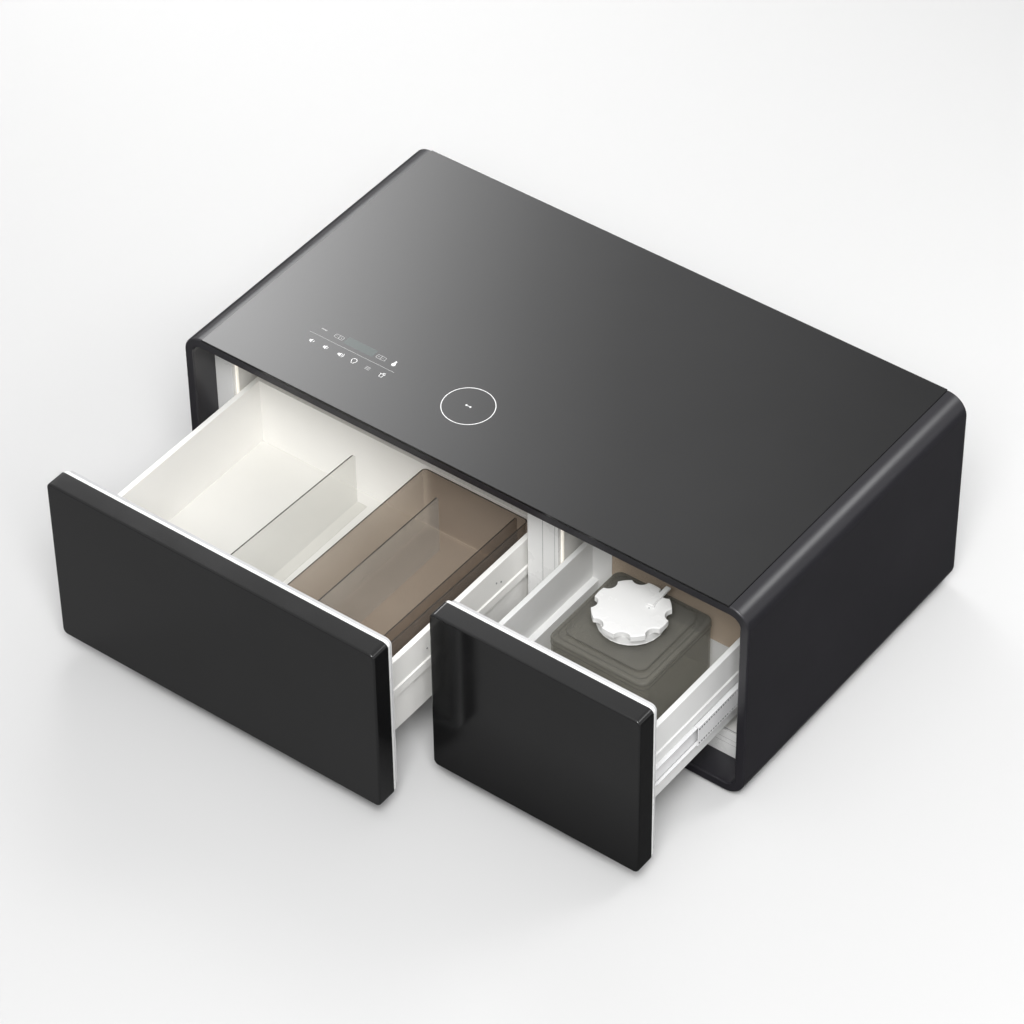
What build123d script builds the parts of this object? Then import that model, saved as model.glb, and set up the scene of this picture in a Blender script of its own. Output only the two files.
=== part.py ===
from build123d import *
import math
import os

# Smart coffee table: a rounded cabinet with a glass top, two cooled drawers and a cooling unit at
# the back. Millimetres. X runs along the table, the drawers open towards -Y, Z is up. The origin is
# under the middle of the whole table as it stands here, with both drawers pulled open.

# Cabinet shell, a rounded rectangular tube open at the front and the back
cabinet_length = 1300.0
cabinet_depth = 713.0
shell_height = 468.0
shell_wall = 21.0
shell_corner = 42.0
shell_edge_round = 4.0
shell_inner_chamfer = 3.0
foot_height = 8.0
foot_radius = 22.0
foot_pad_height = 3.0
foot_inset_x = 70.0
foot_inset_y = 70.0
corner_relief = 1.0
seat_play = 0.2

# Glass top, let into the shell
glass_thickness = 5.0
glass_proud = 3.0
glass_side_margin = 45.0
glass_edge_chamfer = 0.6
glass_gap = 0.6

# Touch panel and wireless charger, in pockets under the glass
touch_length = 226.0
touch_width = 70.0
touch_from_left = 298.0
touch_y = 146.0
board_thickness = 1.6
pocket_depth = 8.0
display_length = 69.0
display_width = 21.0
display_thickness = 4.0
display_offset = 2.0
display_y = 162.0
charger_radius = 51.0
charger_thickness = 6.0
charger_from_left = 565.0
charger_y = 149.0
coil_groove = 2.0

# White face frame, set back from the front edge of the shell
recess_depth = 60.0
frame_thickness = 8.0
post_left = 42.0
mullion = 70.0
post_right = 32.0
left_share = 0.632
sill = 61.0
header = 57.0
opening_corner = 8.0
mullion_cover_width = 28.0
mullion_cover_margin = 8.0
mullion_cover_thickness = 2.5
mullion_cover_chamfer = 0.8

# Compartments behind the frame, and the room for the cooling unit and electronics behind them
liner_wall = 3.0
left_service_depth = 85.0
right_service_depth = 212.0
foam_gap = 0.3
foam_rear_left = 36.0
foam_rear_right = 34.0
led_width = 5.0
led_thickness = 3.0
led_margin = 12.0
evaporator_thickness = 4.0
evaporator_margin = 60.0

# Drawer fronts, each a hollow tray with a foam core, an inner liner and a gasket
front_thickness = 41.0
front_skin = 3.0
front_corner = 12.0
front_edge_round = 4.0
front_side_gap = 9.5
front_middle_gap = 9.0
front_bottom_gap = 11.0
front_top_gap = 27.0
inner_liner_thickness = 9.0
inner_liner_inset = 2.0
gasket_thickness = 8.0
gasket_width = 12.0
gasket_inset = 4.0
closed_gap = 0.3

# How far each drawer stands open here, as a share of its runners' length
left_open_share = 0.9056
right_open_share = 0.802

# Drawer boxes
box_wall = 11.0
box_floor = 4.0
box_top_drop = 85.0
box_bottom_lift = 44.0
box_edge_round = 1.5
belt_drop = 65.0
belt_height = 22.0
belt_proud = 2.5
left_side_gap = 6.5
right_side_gap = 12.7
left_lower_inset = 5.0
right_ledge_width = 14.0
right_ledge_drop = 94.0
left_rear_clearance = 14.3
right_rear_clearance = 15.3
left_floor_lift = 20.0

# Side runners of the right drawer: three nested channels, the outer one on the compartment's wall
runner_height = 52.0
runner_drop = 4.0
runner_sheet = 1.6
runner_gap = 0.5
runner_web_gap = 0.8
runner_flange = 9.0
side_runner_short = 23.0
runner_front_margin = 8.0

# Concealed runners under the left drawer's floor
under_width = 40.0
under_drop = 12.0
under_wall_margin = 4.0
under_bracket = 18.0
under_bracket_gap = 2.0
under_runner_short = 29.0

# Fittings in the left drawer
bottle_bay = 147.0
divider_thickness = 3.0
divider_back_height = 127.0
divider_front_height = 148.0
divider_foot = 24.0
divider_back_gap = 30.0
divider_front_gap = 4.0
divider_corner = 12.0
bin_width = 247.0
bin_side_gap = 17.5
bin_wall = 3.0
bin_back_height = 151.0
bin_front_height = 166.0
bin_end_gap = 3.0
bin_corner = 10.0
partition_corner = 6.0
partitions = {
    "left": {"from_right": 184.0, "back": 141.0, "front": 151.0, "gap": 38.0},
    "right": {"from_right": 28.0, "back": 147.0, "front": 156.0, "gap": 0.0},
}

# Lidded tank and rear guard in the right drawer
tank_left_gap = 63.3
tank_width = 218.0
tank_depth = 221.0
tank_height = 145.0
tank_corner = 18.0
tank_wall = 3.0
tank_edge_round = 5.0
tank_back_gap = 3.0
plateau_inset = 20.0
plateau_height = 8.0
neck_radius = 58.0
neck_height = 24.0
neck_wall = 4.0
cap_lobes = 8
cap_radius = 73.5
cap_scallop = 10.5
cap_bite = 17.0
cap_disc = 13.0
cap_skirt_radius = 63.5
cap_skirt_height = 20.0
cap_thread_gap = 0.6
cap_edge_round = 2.0
seal_thickness = 3.0
seal_gap = 0.3
lever_length = 56.0
lever_width = 9.0
lever_thickness = 5.0
lever_pin_radius = 2.0
lever_pin_gap = 0.06
lever_ear = 3.0
lever_ear_gap = 0.4
lever_offset_x = 26.0
lever_offset_y = 24.0
lever_rise = 1.0
guard_thickness = 4.0
guard_left_gap = 46.0
guard_height = 92.0
guard_top_drop = 2.0

# Cooling unit and electronics behind the compartments
back_panel_inset = 12.0
back_panel_thickness = 2.0
compressor_radius = 60.0
compressor_height = 150.0
compressor_from_post = 78.0
compressor_round = 24.0
compressor_plate = 3.0
grommet_radius = 9.0
grommet_height = 12.0
grommet_spacing = 104.0
condenser_width = 150.0
condenser_height = 170.0
condenser_depth = 40.0
condenser_fins = 24
condenser_tank = 8.0
fan_size = 120.0
fan_depth = 25.0
fan_bore = 56.0
fan_hub = 20.0
fan_blades = 7
fan_tip_gap = 1.5
fan_shaft_radius = 2.5
fan_shaft_gap = 0.05
fan_strut = 5.0
condenser_fan_gap = 8.0
tube_radius = 3.0
tube_rise = 36.0
supply_length = 150.0
supply_height = 46.0
supply_depth = 40.0
supply_from_post = 212.0
control_length = 160.0
control_height = 90.0
control_from_left = 369.0
standoff = 6.0
chip_height = 9.0
inlet_width = 50.0
inlet_height = 28.0
inlet_depth = 24.0
inlet_from_right = 69.0
inlet_rise = 60.0
speaker_radius = 38.0
speaker_depth = 34.0
speaker_flange = 4.0
speaker_drop = 45.0
speaker_from_left = 109.0
speaker_from_post = 92.0
vent_slot = 4.0
vent_pitch = 10.0
vent_bridge = 12.0
vent_half_width = 54.0
panel_screw_radius = 3.5
panel_screw_head = 2.0

# Heights
floor_z = foot_height
top_z = floor_z + shell_height
inner_bottom = floor_z + shell_wall
inner_top = top_z - shell_wall
inner_height = inner_top - inner_bottom
relieved_corner = shell_corner - shell_wall + corner_relief
opening_bottom = inner_bottom + sill
opening_top = inner_top - header
opening_height = opening_top - opening_bottom
front_bottom = inner_bottom + front_bottom_gap
front_top = inner_top - front_top_gap
front_height = front_top - front_bottom
box_top = opening_top - box_top_drop
box_bottom = opening_bottom + box_bottom_lift
belt_top = box_top - belt_drop
belt_bottom = belt_top - belt_height

# Lengths along X
inner_half = cabinet_length / 2 - shell_wall
glass_half = cabinet_length / 2 - glass_side_margin
touch_x = touch_from_left - cabinet_length / 2
display_x = touch_x + display_offset
charger_x = charger_from_left - cabinet_length / 2
left_x0 = -inner_half + post_left
right_x1 = inner_half - post_right
left_x1 = left_x0 + left_share * (right_x1 - left_x0 - mullion)
right_x0 = left_x1 + mullion
mullion_x = (left_x1 + right_x0) / 2
front_x = {
    "left": (-inner_half + front_side_gap, mullion_x - front_middle_gap / 2),
    "right": (mullion_x + front_middle_gap / 2, inner_half - front_side_gap),
}
box_x = {
    "left": (left_x0 + left_side_gap, left_x1 - left_side_gap),
    "right": (right_x0 + right_side_gap, right_x1 - right_side_gap),
}

bin_right_x = box_x["left"][1] - box_wall - bin_side_gap
bin_left_x = bin_right_x - bin_width
divider_x = bin_left_x - bottle_bay
tank_x = box_x["right"][0] + box_wall + tank_left_gap + tank_width / 2

# Depths from the shell's front edge, with the drawers closed
stack = front_thickness + inner_liner_thickness + gasket_thickness
front_closed = recess_depth - closed_gap - stack
box_closed = front_closed + front_thickness + inner_liner_thickness
panel_depth = cabinet_depth - back_panel_inset - back_panel_thickness
cavity_depth = {
    "left": panel_depth - left_service_depth - foam_rear_left - liner_wall,
    "right": panel_depth - right_service_depth - foam_rear_right - liner_wall,
}
box_length = {
    "left": cavity_depth["left"] - left_rear_clearance - box_closed,
    "right": cavity_depth["right"] - right_rear_clearance - box_closed,
}
left_runner_length = box_length["left"] - under_runner_short
right_runner_length = box_length["right"] - side_runner_short
left_open = left_open_share * left_runner_length
right_open = right_open_share * right_runner_length

# Places along Y. The shell's front edge stands so that the whole table, with the left drawer open,
# is centred on the origin.
reach = left_open - front_closed
shell_y0 = (reach - cabinet_depth) / 2
shell_y1 = shell_y0 + cabinet_depth
frame_y0 = shell_y0 + recess_depth
frame_y1 = frame_y0 + frame_thickness
face_y = {
    "left": shell_y0 + front_closed - left_open,
    "right": shell_y0 + front_closed - right_open,
}
box_y0 = {side: face_y[side] + front_thickness + inner_liner_thickness for side in face_y}
box_y1 = {side: box_y0[side] + box_length[side] for side in box_y0}
box_floor_z = {"left": box_bottom + left_floor_lift, "right": box_bottom}
floor_top = {side: box_floor_z[side] + box_floor for side in box_floor_z}
cavity_y1 = {side: shell_y0 + cavity_depth[side] for side in cavity_depth}
panel_y = shell_y0 + panel_depth


def block(x0, x1, y0, y1, z0, z1):
    """A box between two corners."""
    return Pos((x0 + x1) / 2, (y0 + y1) / 2, (z0 + z1) / 2) * Box(x1 - x0, y1 - y0, z1 - z0)


def prism_y(sketch, y0, y1, x=0.0, z=0.0):
    """A sketch drawn in X and Z, carried along Y from y0 to y1."""
    return Pos(x, y1, z) * Rot(90, 0, 0) * extrude(sketch, y1 - y0)


def rounded_y(x0, x1, z0, z1, y0, y1, radius):
    """A rounded rectangle in X and Z, carried along Y."""
    sketch = RectangleRounded(x1 - x0, z1 - z0, radius)
    return prism_y(sketch, y0, y1, (x0 + x1) / 2, (z0 + z1) / 2)


def rounded_z(x0, x1, y0, y1, z0, z1, radius):
    """A rounded rectangle in X and Y, carried up along Z."""
    sketch = RectangleRounded(x1 - x0, y1 - y0, radius)
    return Pos((x0 + x1) / 2, (y0 + y1) / 2, z0) * extrude(sketch, z1 - z0)


def rod_y(x, y0, y1, z, radius):
    """A round bar along Y."""
    return Pos(x, (y0 + y1) / 2, z) * Rot(90, 0, 0) * Cylinder(radius, y1 - y0)


def rod_z(x, y, z0, z1, radius):
    """A round bar along Z."""
    return Pos(x, y, (z0 + z1) / 2) * Cylinder(radius, z1 - z0)


def edges_at_y(part, y):
    """The edges of a part that lie in the plane at y."""
    return part.edges().filter_by_position(Axis.Y, y - 0.01, y + 0.01)


def save(name, shape):
    """Write one sub-part."""
    shape.label = name
    export_step(shape, f"parts/{name}.step")


def group(solids):
    """Several loose solids kept together as one sub-part."""
    return Compound(children=[s for s in solids])


# Cabinet

def cabinet_shell():
    half = cabinet_length / 2
    outer = rounded_y(-half, half, floor_z, top_z, shell_y0, shell_y1, shell_corner)
    outer = fillet(edges_at_y(outer, shell_y0), shell_edge_round)
    hollow = rounded_y(-inner_half, inner_half, inner_bottom, inner_top,
                       shell_y0 - 1, shell_y1 + 1, shell_corner - shell_wall)
    shell = outer - hollow
    inner_front = [e for e in edges_at_y(shell, shell_y0)
                   if abs(e.center().X) < inner_half + 1 and inner_bottom - 1 < e.center().Z < inner_top + 1]
    shell = chamfer(inner_front, shell_inner_chamfer)
    seat = top_z + glass_proud - glass_thickness
    rebate = glass_half + glass_gap
    shell -= block(-rebate, rebate, shell_y0 - 1, shell_y1 + 1, seat, top_z + 1)
    shell -= block(touch_x - touch_length / 2 - 1, touch_x + touch_length / 2 + 1,
                   shell_y0 + touch_y - touch_width / 2 - 1, shell_y0 + touch_y + touch_width / 2 + 1,
                   seat - pocket_depth, seat + 1)
    shell -= rod_z(charger_x, shell_y0 + charger_y, seat - pocket_depth, seat + 1, charger_radius + 1)
    return shell


def glass_top():
    base = top_z + glass_proud - glass_thickness
    plate = block(-glass_half, glass_half, shell_y0, shell_y1, base, base + glass_thickness)
    rim = plate.edges().group_by(Axis.Z)[-1]
    return chamfer(rim, glass_edge_chamfer)


def touch_board():
    under_glass = top_z + glass_proud - glass_thickness
    z0 = under_glass - pocket_depth
    x0, x1 = touch_x - touch_length / 2, touch_x + touch_length / 2
    y0, y1 = shell_y0 + touch_y - touch_width / 2, shell_y0 + touch_y + touch_width / 2
    board = block(x0, x1, y0, y1, under_glass - display_thickness - board_thickness,
                  under_glass - display_thickness)
    for x in (x0 + standoff, x1 - standoff):
        for y in (y0 + standoff, y1 - standoff):
            board += rod_z(x, y, z0, under_glass - display_thickness, standoff / 2)
    return board


def display_module():
    under_glass = top_z + glass_proud - glass_thickness
    y = shell_y0 + display_y
    return block(display_x - display_length / 2, display_x + display_length / 2,
                 y - display_width / 2, y + display_width / 2, under_glass - display_thickness, under_glass)


def wireless_charger():
    under_glass = top_z + glass_proud - glass_thickness
    y = shell_y0 + charger_y
    pad = rod_z(charger_x, y, under_glass - pocket_depth, under_glass, charger_radius)
    groove = rod_z(charger_x, y, under_glass - coil_groove, under_glass + 1, charger_radius * 0.8)
    groove -= rod_z(charger_x, y, under_glass - coil_groove, under_glass + 1, charger_radius * 0.35)
    return pad - groove


def face_frame():
    plate = rounded_y(-inner_half, inner_half, inner_bottom, inner_top, frame_y0, frame_y1, relieved_corner)
    for x0, x1 in ((left_x0, left_x1), (right_x0, right_x1)):
        plate -= rounded_y(x0, x1, opening_bottom, opening_top, frame_y0 - 1, frame_y1 + 1, opening_corner)
    return plate - cover_block(0.0)


def cover_block(inset):
    """The strip on the middle post, flush with the frame, or its pocket when the inset is 0."""
    x1 = right_x0 - mullion_cover_margin
    return block(x1 - mullion_cover_width + inset, x1 - inset, frame_y0, frame_y0 + mullion_cover_thickness,
                 inner_bottom + front_bottom_gap + inset, inner_top - front_bottom_gap - inset)


def mullion_cover():
    return chamfer(edges_at_y(cover_block(seat_play), frame_y0), mullion_cover_chamfer)


def liner(x0, x1, y1):
    """A compartment, open at the front, with its mouth against the back of the face frame."""
    outer = rounded_y(x0 - liner_wall, x1 + liner_wall, opening_bottom - liner_wall,
                      opening_top + liner_wall, frame_y1, y1 + liner_wall, opening_corner + liner_wall)
    inner = rounded_y(x0, x1, opening_bottom, opening_top, frame_y1 - 1, y1, opening_corner)
    return outer - inner


def light_bar(x0, z0):
    """A light bar down one side of a compartment's mouth."""
    return block(x0, x0 + led_thickness, frame_y1 + 1, frame_y1 + 1 + led_width, z0,
                 opening_top - led_margin)


def evaporator(x0, x1, y1):
    """A cooling plate on the back of a compartment."""
    y = y1 + liner_wall
    plate = block(x0 + evaporator_margin, x1 - evaporator_margin, y, y + evaporator_thickness,
                  opening_bottom + evaporator_margin / 2, opening_top - evaporator_margin / 2)
    rows = 5
    step = (opening_height - evaporator_margin) / (rows + 1)
    for i in range(rows):
        z = opening_bottom + evaporator_margin / 2 + step * (i + 1)
        plate += block(x0 + evaporator_margin * 1.5, x1 - evaporator_margin * 1.5,
                       y + evaporator_thickness, y + evaporator_thickness + 2, z - 3, z + 3)
    return plate


def insulation():
    """Foam round both compartments, stepped at the back where the cooling unit stands."""
    left_back = cavity_y1["left"] + liner_wall + foam_rear_left
    right_back = cavity_y1["right"] + liner_wall + foam_rear_right
    foam = rounded_y(-inner_half, inner_half, inner_bottom, inner_top, frame_y1, left_back,
                     relieved_corner)
    foam -= block(mullion_x, inner_half + 1, right_back, left_back + 1, inner_bottom - 1, inner_top + 1)
    deep = evaporator_thickness + 2
    for x0, x1, y1 in ((left_x0, left_x1, cavity_y1["left"]), (right_x0, right_x1, cavity_y1["right"])):
        foam -= rounded_y(x0 - liner_wall, x1 + liner_wall, opening_bottom - liner_wall,
                          opening_top + liner_wall, frame_y1 - 1, y1 + liner_wall,
                          opening_corner + liner_wall)
        foam -= block(x0 + evaporator_margin, x1 - evaporator_margin, y1, y1 + liner_wall + deep,
                      opening_bottom + evaporator_margin / 2, opening_top - evaporator_margin / 2)
    return foam


def feet():
    solids = []
    for x in (-cabinet_length / 2 + foot_inset_x, cabinet_length / 2 - foot_inset_x):
        for y in (shell_y0 + foot_inset_y, shell_y1 - foot_inset_y):
            foot = rod_z(x, y, 0, foot_pad_height, foot_radius)
            foot += rod_z(x, y, foot_pad_height, floor_z, foot_radius * 0.7)
            solids.append(foot)
    return group(solids)


# Drawer fronts

def front_tray(side):
    x0, x1 = front_x[side]
    y0 = face_y[side]
    y1 = y0 + front_thickness
    tray = rounded_y(x0, x1, front_bottom, front_top, y0, y1, front_corner)
    tray = fillet(edges_at_y(tray, y0), front_edge_round)
    return tray - rounded_y(x0 + front_skin, x1 - front_skin, front_bottom + front_skin,
                            front_top - front_skin, y0 + front_skin, y1 + 1, front_corner - front_skin)


def front_core(side):
    x0, x1 = front_x[side]
    inset = front_skin + foam_gap
    return rounded_y(x0 + inset, x1 - inset, front_bottom + inset, front_top - inset,
                     face_y[side] + inset, face_y[side] + front_thickness, front_corner - inset)


def front_liner(side):
    x0, x1 = front_x[side]
    y0 = face_y[side] + front_thickness
    inset = inner_liner_inset
    plate = rounded_y(x0 + inset, x1 - inset, front_bottom + inset, front_top - inset, y0,
                      y0 + inner_liner_thickness, front_corner - inset)
    return fillet(edges_at_y(plate, y0 + inner_liner_thickness), inset)


def gasket(side):
    x0, x1 = front_x[side]
    y0 = face_y[side] + front_thickness + inner_liner_thickness
    outer = gasket_inset + inner_liner_inset
    inner = outer + gasket_width
    ring = rounded_y(x0 + outer, x1 - outer, front_bottom + outer, front_top - outer, y0,
                     y0 + gasket_thickness, front_corner - outer / 2)
    return ring - rounded_y(x0 + inner, x1 - inner, front_bottom + inner, front_top - inner, y0 - 1,
                            y0 + gasket_thickness + 1, front_corner / 2)


# Drawer boxes

def side_wall(outward, lower_inset):
    """Profile of one side wall in X and Z. X = 0 is the outer face and outward is -1 or +1."""
    sign = -outward
    points = [
        (0, box_top), (sign * box_wall, box_top), (sign * box_wall, box_bottom),
        (sign * lower_inset, box_bottom), (sign * lower_inset, belt_bottom),
        (-sign * belt_proud, belt_bottom), (-sign * belt_proud, belt_top - belt_proud), (0, belt_top),
    ]
    return make_face(Polyline(*points, close=True))


def drawer_box(side, lower_inset, ledge):
    """A box with a ledge along the inside of both walls where the ledge has a width."""
    x0, x1 = box_x[side]
    y0, y1 = box_y0[side], box_y1[side]
    box = prism_y(side_wall(-1, lower_inset), y0, y1, x0)
    box += prism_y(side_wall(1, lower_inset), y0, y1, x1)
    inner0, inner1 = x0 + box_wall, x1 - box_wall
    for a, b in ((y0, y0 + box_wall), (y1 - box_wall, y1)):
        box += block(inner0, inner1, a, b, box_floor_z[side], box_top)
    box += block(inner0, inner1, y0, y1, box_floor_z[side], floor_top[side])
    if ledge > 0:
        for a, b in ((inner0, inner0 + ledge), (inner1 - ledge, inner1)):
            box += block(a, b, y0, y1, box_floor_z[side], box_top - right_ledge_drop)
    rim = [e for e in box.edges().filter_by(Axis.Y) if e.center().Z > box_top - 0.01]
    return fillet(rim, box_edge_round)


# Concealed runners under the left drawer: three nested upturned channels on each side

def under_centres():
    """Middle of each concealed runner, and which way its wall lies."""
    inset = box_wall + under_wall_margin + under_width / 2
    return ((box_x["left"][0] + inset, -1), (box_x["left"][1] - inset, 1))


def hat_channel(x, half, top, bottom, y0, y1):
    """A channel open downwards."""
    outer = block(x - half, x + half, y0, y1, bottom, top)
    inner = half - runner_sheet
    return outer - block(x - inner, x + inner, y0 - 1, y1 + 1, bottom - 1, top - runner_sheet)


def under_level(rank):
    """Half width and top of a concealed channel: 0 on the drawer, 1 between, 2 on the cabinet."""
    half = under_width / 2 - rank * (runner_sheet + runner_gap)
    top = box_floor_z["left"] - rank * (runner_sheet + runner_gap)
    return half, top


def under_span(rank):
    """Start and end along Y of a concealed channel as the drawer stands."""
    y0 = frame_y1 + runner_front_margin - (left_open, left_open / 2, 0.0)[rank]
    return y0, y0 + left_runner_length


def left_runners(rank):
    half, top = under_level(rank)
    y0, y1 = under_span(rank)
    solids = []
    for x, out in under_centres():
        bottom = box_floor_z["left"] - under_drop + (2 - rank)
        channel = hat_channel(x, half, top, bottom, y0, y1)
        if rank == 2:
            bracket_top = box_bottom - under_bracket_gap
            wall = left_x0 if out < 0 else left_x1
            inner = x - out * half
            lo, hi = min(wall, inner), max(wall, inner)
            channel += block(lo, hi, y0, y1, bracket_top - runner_sheet, bracket_top)
            for s in (-1, 1):
                a, b = x + s * half, x + s * (half - runner_sheet)
                channel += block(min(a, b), max(a, b), y0, y1, bracket_top - runner_sheet, bottom)
            a, b = wall, wall - out * runner_sheet
            channel += block(min(a, b), max(a, b), y0, y1, bracket_top - under_bracket, bracket_top)
        solids.append(channel)
    return group(solids)


# Side runners of the right drawer

def side_channel(wall, out, web0, web1, flange_end, half, y0, y1):
    """A channel on its side. Distances run from the compartment's wall towards the drawer."""
    def span(a, b):
        p, q = wall - out * a, wall - out * b
        return min(p, q), max(p, q)
    z = belt_bottom - runner_drop - runner_height / 2
    low, high = min(web0, flange_end), max(web1, flange_end)
    xa, xb = span(web0, web1)
    channel = block(xa, xb, y0, y1, z - half, z + half)
    xa, xb = span(low, high)
    channel += block(xa, xb, y0, y1, z + half - runner_sheet, z + half)
    channel += block(xa, xb, y0, y1, z - half, z - half + runner_sheet)
    return channel


def right_runners(rank):
    """Rank 0 is on the drawer, 1 between, 2 on the cabinet."""
    step = runner_sheet + runner_gap
    half = runner_height / 2 - (2 - rank) * step
    web = {
        2: (0.0, runner_sheet),
        1: (runner_sheet + runner_web_gap, 2 * runner_sheet + runner_web_gap),
        0: (right_side_gap - runner_sheet, right_side_gap),
    }[rank]
    inner_web = 2 * runner_sheet + 2 * runner_web_gap
    flange_end = {2: runner_flange, 1: runner_flange + 2, 0: inner_web}[rank]
    y0 = frame_y1 + runner_front_margin - (right_open, right_open / 2, 0.0)[rank]
    solids = [side_channel(wall, out, web[0], web[1], flange_end, half, y0, y0 + right_runner_length)
              for wall, out in ((right_x0, -1), (right_x1, 1))]
    return group(solids)


# Fittings in the left drawer

def sloped_plate(x, y0, y1, z0, back_height, front_height_, thickness, corner):
    """An upright plate along Y whose top edge rises towards the front."""
    points = [(y0, z0), (y1, z0), (y1, z0 + back_height), (y0, z0 + front_height_)]
    face = make_face(Polyline(*points, close=True))
    plate = extrude(Plane.YZ * face, thickness / 2, both=True)
    top = [e for e in plate.edges().filter_by(Axis.X) if e.center().Z > z0 + back_height / 2]
    return Pos(x, 0, 0) * fillet(top, corner)


def left_inside():
    """Clear length of the left drawer along Y, and its floor."""
    return box_y0["left"] + box_wall, box_y1["left"] - box_wall, floor_top["left"]


def clear_divider():
    y0, y1, z0 = left_inside()
    y0, y1 = y0 + divider_front_gap, y1 - divider_back_gap
    plate = sloped_plate(divider_x, y0, y1, z0, divider_back_height, divider_front_height,
                         divider_thickness, divider_corner)
    return plate + block(divider_x, divider_x + divider_foot, y0, y1, z0, z0 + divider_thickness)


def bin_ends():
    y0, y1, z0 = left_inside()
    return y0 + bin_end_gap, y1 - bin_end_gap, z0


def tinted_bin():
    y0, y1, z0 = bin_ends()
    tall = bin_front_height + 1
    outer = rounded_z(bin_left_x, bin_right_x, y0, y1, z0, z0 + tall, bin_corner)
    inner = rounded_z(bin_left_x + bin_wall, bin_right_x - bin_wall, y0 + bin_wall, y1 - bin_wall,
                      z0 + bin_wall, z0 + tall + 1, bin_corner - bin_wall)
    slope = [(y0 - 1, z0 + bin_front_height), (y1 + 1, z0 + bin_back_height),
             (y1 + 1, z0 + tall + 2), (y0 - 1, z0 + tall + 2)]
    cutter = extrude(Plane.YZ * make_face(Polyline(*slope, close=True)), cabinet_length, both=True)
    return outer - inner - cutter


def bin_partition(from_right, back, front, gap):
    """An upright plate in the bin. Its heights are from the drawer's floor."""
    y0, y1, z0 = bin_ends()
    return sloped_plate(bin_right_x - from_right, y0 + bin_wall, y1 - bin_wall - gap, z0 + bin_wall,
                        back - bin_wall, front - bin_wall, bin_wall, partition_corner)


# Tank, cap and guard in the right drawer

tank_y1 = box_y1["right"] - box_wall - guard_thickness - tank_back_gap
tank_y0 = tank_y1 - tank_depth
tank_y = (tank_y0 + tank_y1) / 2
tank_z0 = floor_top["right"]
tank_rim = tank_z0 + tank_height
neck_base = tank_rim + plateau_height
neck_top = neck_base + neck_height
cap_z0 = neck_top + seal_thickness + seal_gap
cap_z1 = cap_z0 + cap_disc


def tank_body():
    x0, x1 = tank_x - tank_width / 2, tank_x + tank_width / 2
    body = rounded_z(x0, x1, tank_y0, tank_y1, tank_z0, tank_rim, tank_corner)
    body = fillet(body.edges().group_by(Axis.Z)[-1], tank_edge_round)
    p = plateau_inset
    body += rounded_z(x0 + p, x1 - p, tank_y0 + p, tank_y1 - p, tank_rim - tank_wall, neck_base, tank_corner)
    w = tank_wall
    body -= rounded_z(x0 + w, x1 - w, tank_y0 + w, tank_y1 - w, tank_z0 + w, tank_rim - w, tank_corner - w)
    body -= rounded_z(x0 + p + w, x1 - p - w, tank_y0 + p + w, tank_y1 - p - w, tank_rim - w - 1,
                      neck_base - w, tank_corner - w)
    body += rod_z(tank_x, tank_y, neck_base - w, neck_top, neck_radius)
    return body - rod_z(tank_x, tank_y, tank_z0 + w, neck_top + 1, neck_radius - neck_wall)


def tank_seal():
    seal = rod_z(tank_x, tank_y, neck_top, neck_top + seal_thickness, neck_radius)
    return seal - rod_z(tank_x, tank_y, neck_top - 1, neck_top + seal_thickness + 1, neck_radius - neck_wall)


def lobed_disc(z0, z1):
    """A round disc with evenly spaced scallops bitten out of its rim."""
    disc = rod_z(tank_x, tank_y, z0, z1, cap_radius)
    away = cap_radius - cap_scallop + cap_bite
    for i in range(cap_lobes):
        a = 2 * math.pi * (i + 0.5) / cap_lobes
        disc -= rod_z(tank_x + away * math.cos(a), tank_y + away * math.sin(a), z0 - 1, z1 + 1, cap_bite)
    return disc


def lever_pivot():
    """Middle of the lever's hinge pin."""
    z = cap_z1 + lever_rise + lever_thickness / 2
    return tank_x + lever_offset_x, tank_y + lever_offset_y, z


def tank_cap():
    disc = lobed_disc(cap_z0, cap_z1)
    disc = fillet(disc.edges().group_by(Axis.Z)[-1], cap_edge_round)
    skirt_z0 = cap_z0 - cap_skirt_height
    cap = disc + rod_z(tank_x, tank_y, skirt_z0, cap_z0, cap_skirt_radius)
    cap -= rod_z(tank_x, tank_y, skirt_z0 - 1, cap_z0, neck_radius + cap_thread_gap)
    px, py, pz = lever_pivot()
    for s in (-1, 1):
        inner = lever_width / 2 + lever_ear_gap
        a, b = px + s * inner, px + s * (inner + lever_ear)
        cap += block(min(a, b), max(a, b), py - lever_thickness / 2, py + lever_thickness / 2, cap_z1, pz + 2)
    ears = lever_width / 2 + lever_ear_gap + lever_ear
    return cap + Pos(px, py, pz) * Rot(0, 90, 0) * Cylinder(lever_pin_radius, 2 * ears)


def tank_lever():
    px, py, pz = lever_pivot()
    half = lever_thickness / 2
    bar = block(px - lever_width / 2, px + lever_width / 2, py, py + lever_length, pz - half, pz + half)
    bar = fillet(bar.edges().filter_by(Axis.X).sort_by(Axis.Y)[-2:], half * 0.8)
    bar += Pos(px, py, pz) * Rot(0, 90, 0) * Cylinder(half, lever_width)
    bore = lever_pin_radius + lever_pin_gap
    return bar - Pos(px, py, pz) * Rot(0, 90, 0) * Cylinder(bore, lever_width + 2)


def rear_guard():
    x0 = box_x["right"][0] + box_wall + guard_left_gap
    x1 = box_x["right"][1] - box_wall
    y1 = box_y1["right"] - box_wall
    z1 = box_top - guard_top_drop
    plate = block(x0, x1, y1 - guard_thickness, y1, z1 - guard_height, z1)
    return chamfer(edges_at_y(plate, y1 - guard_thickness), guard_thickness / 4)


# Cooling unit and electronics

def bay_y(side):
    """Front of the service bay behind a compartment."""
    foam = {"left": foam_rear_left, "right": foam_rear_right}[side]
    return cavity_y1[side] + liner_wall + foam


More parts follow.
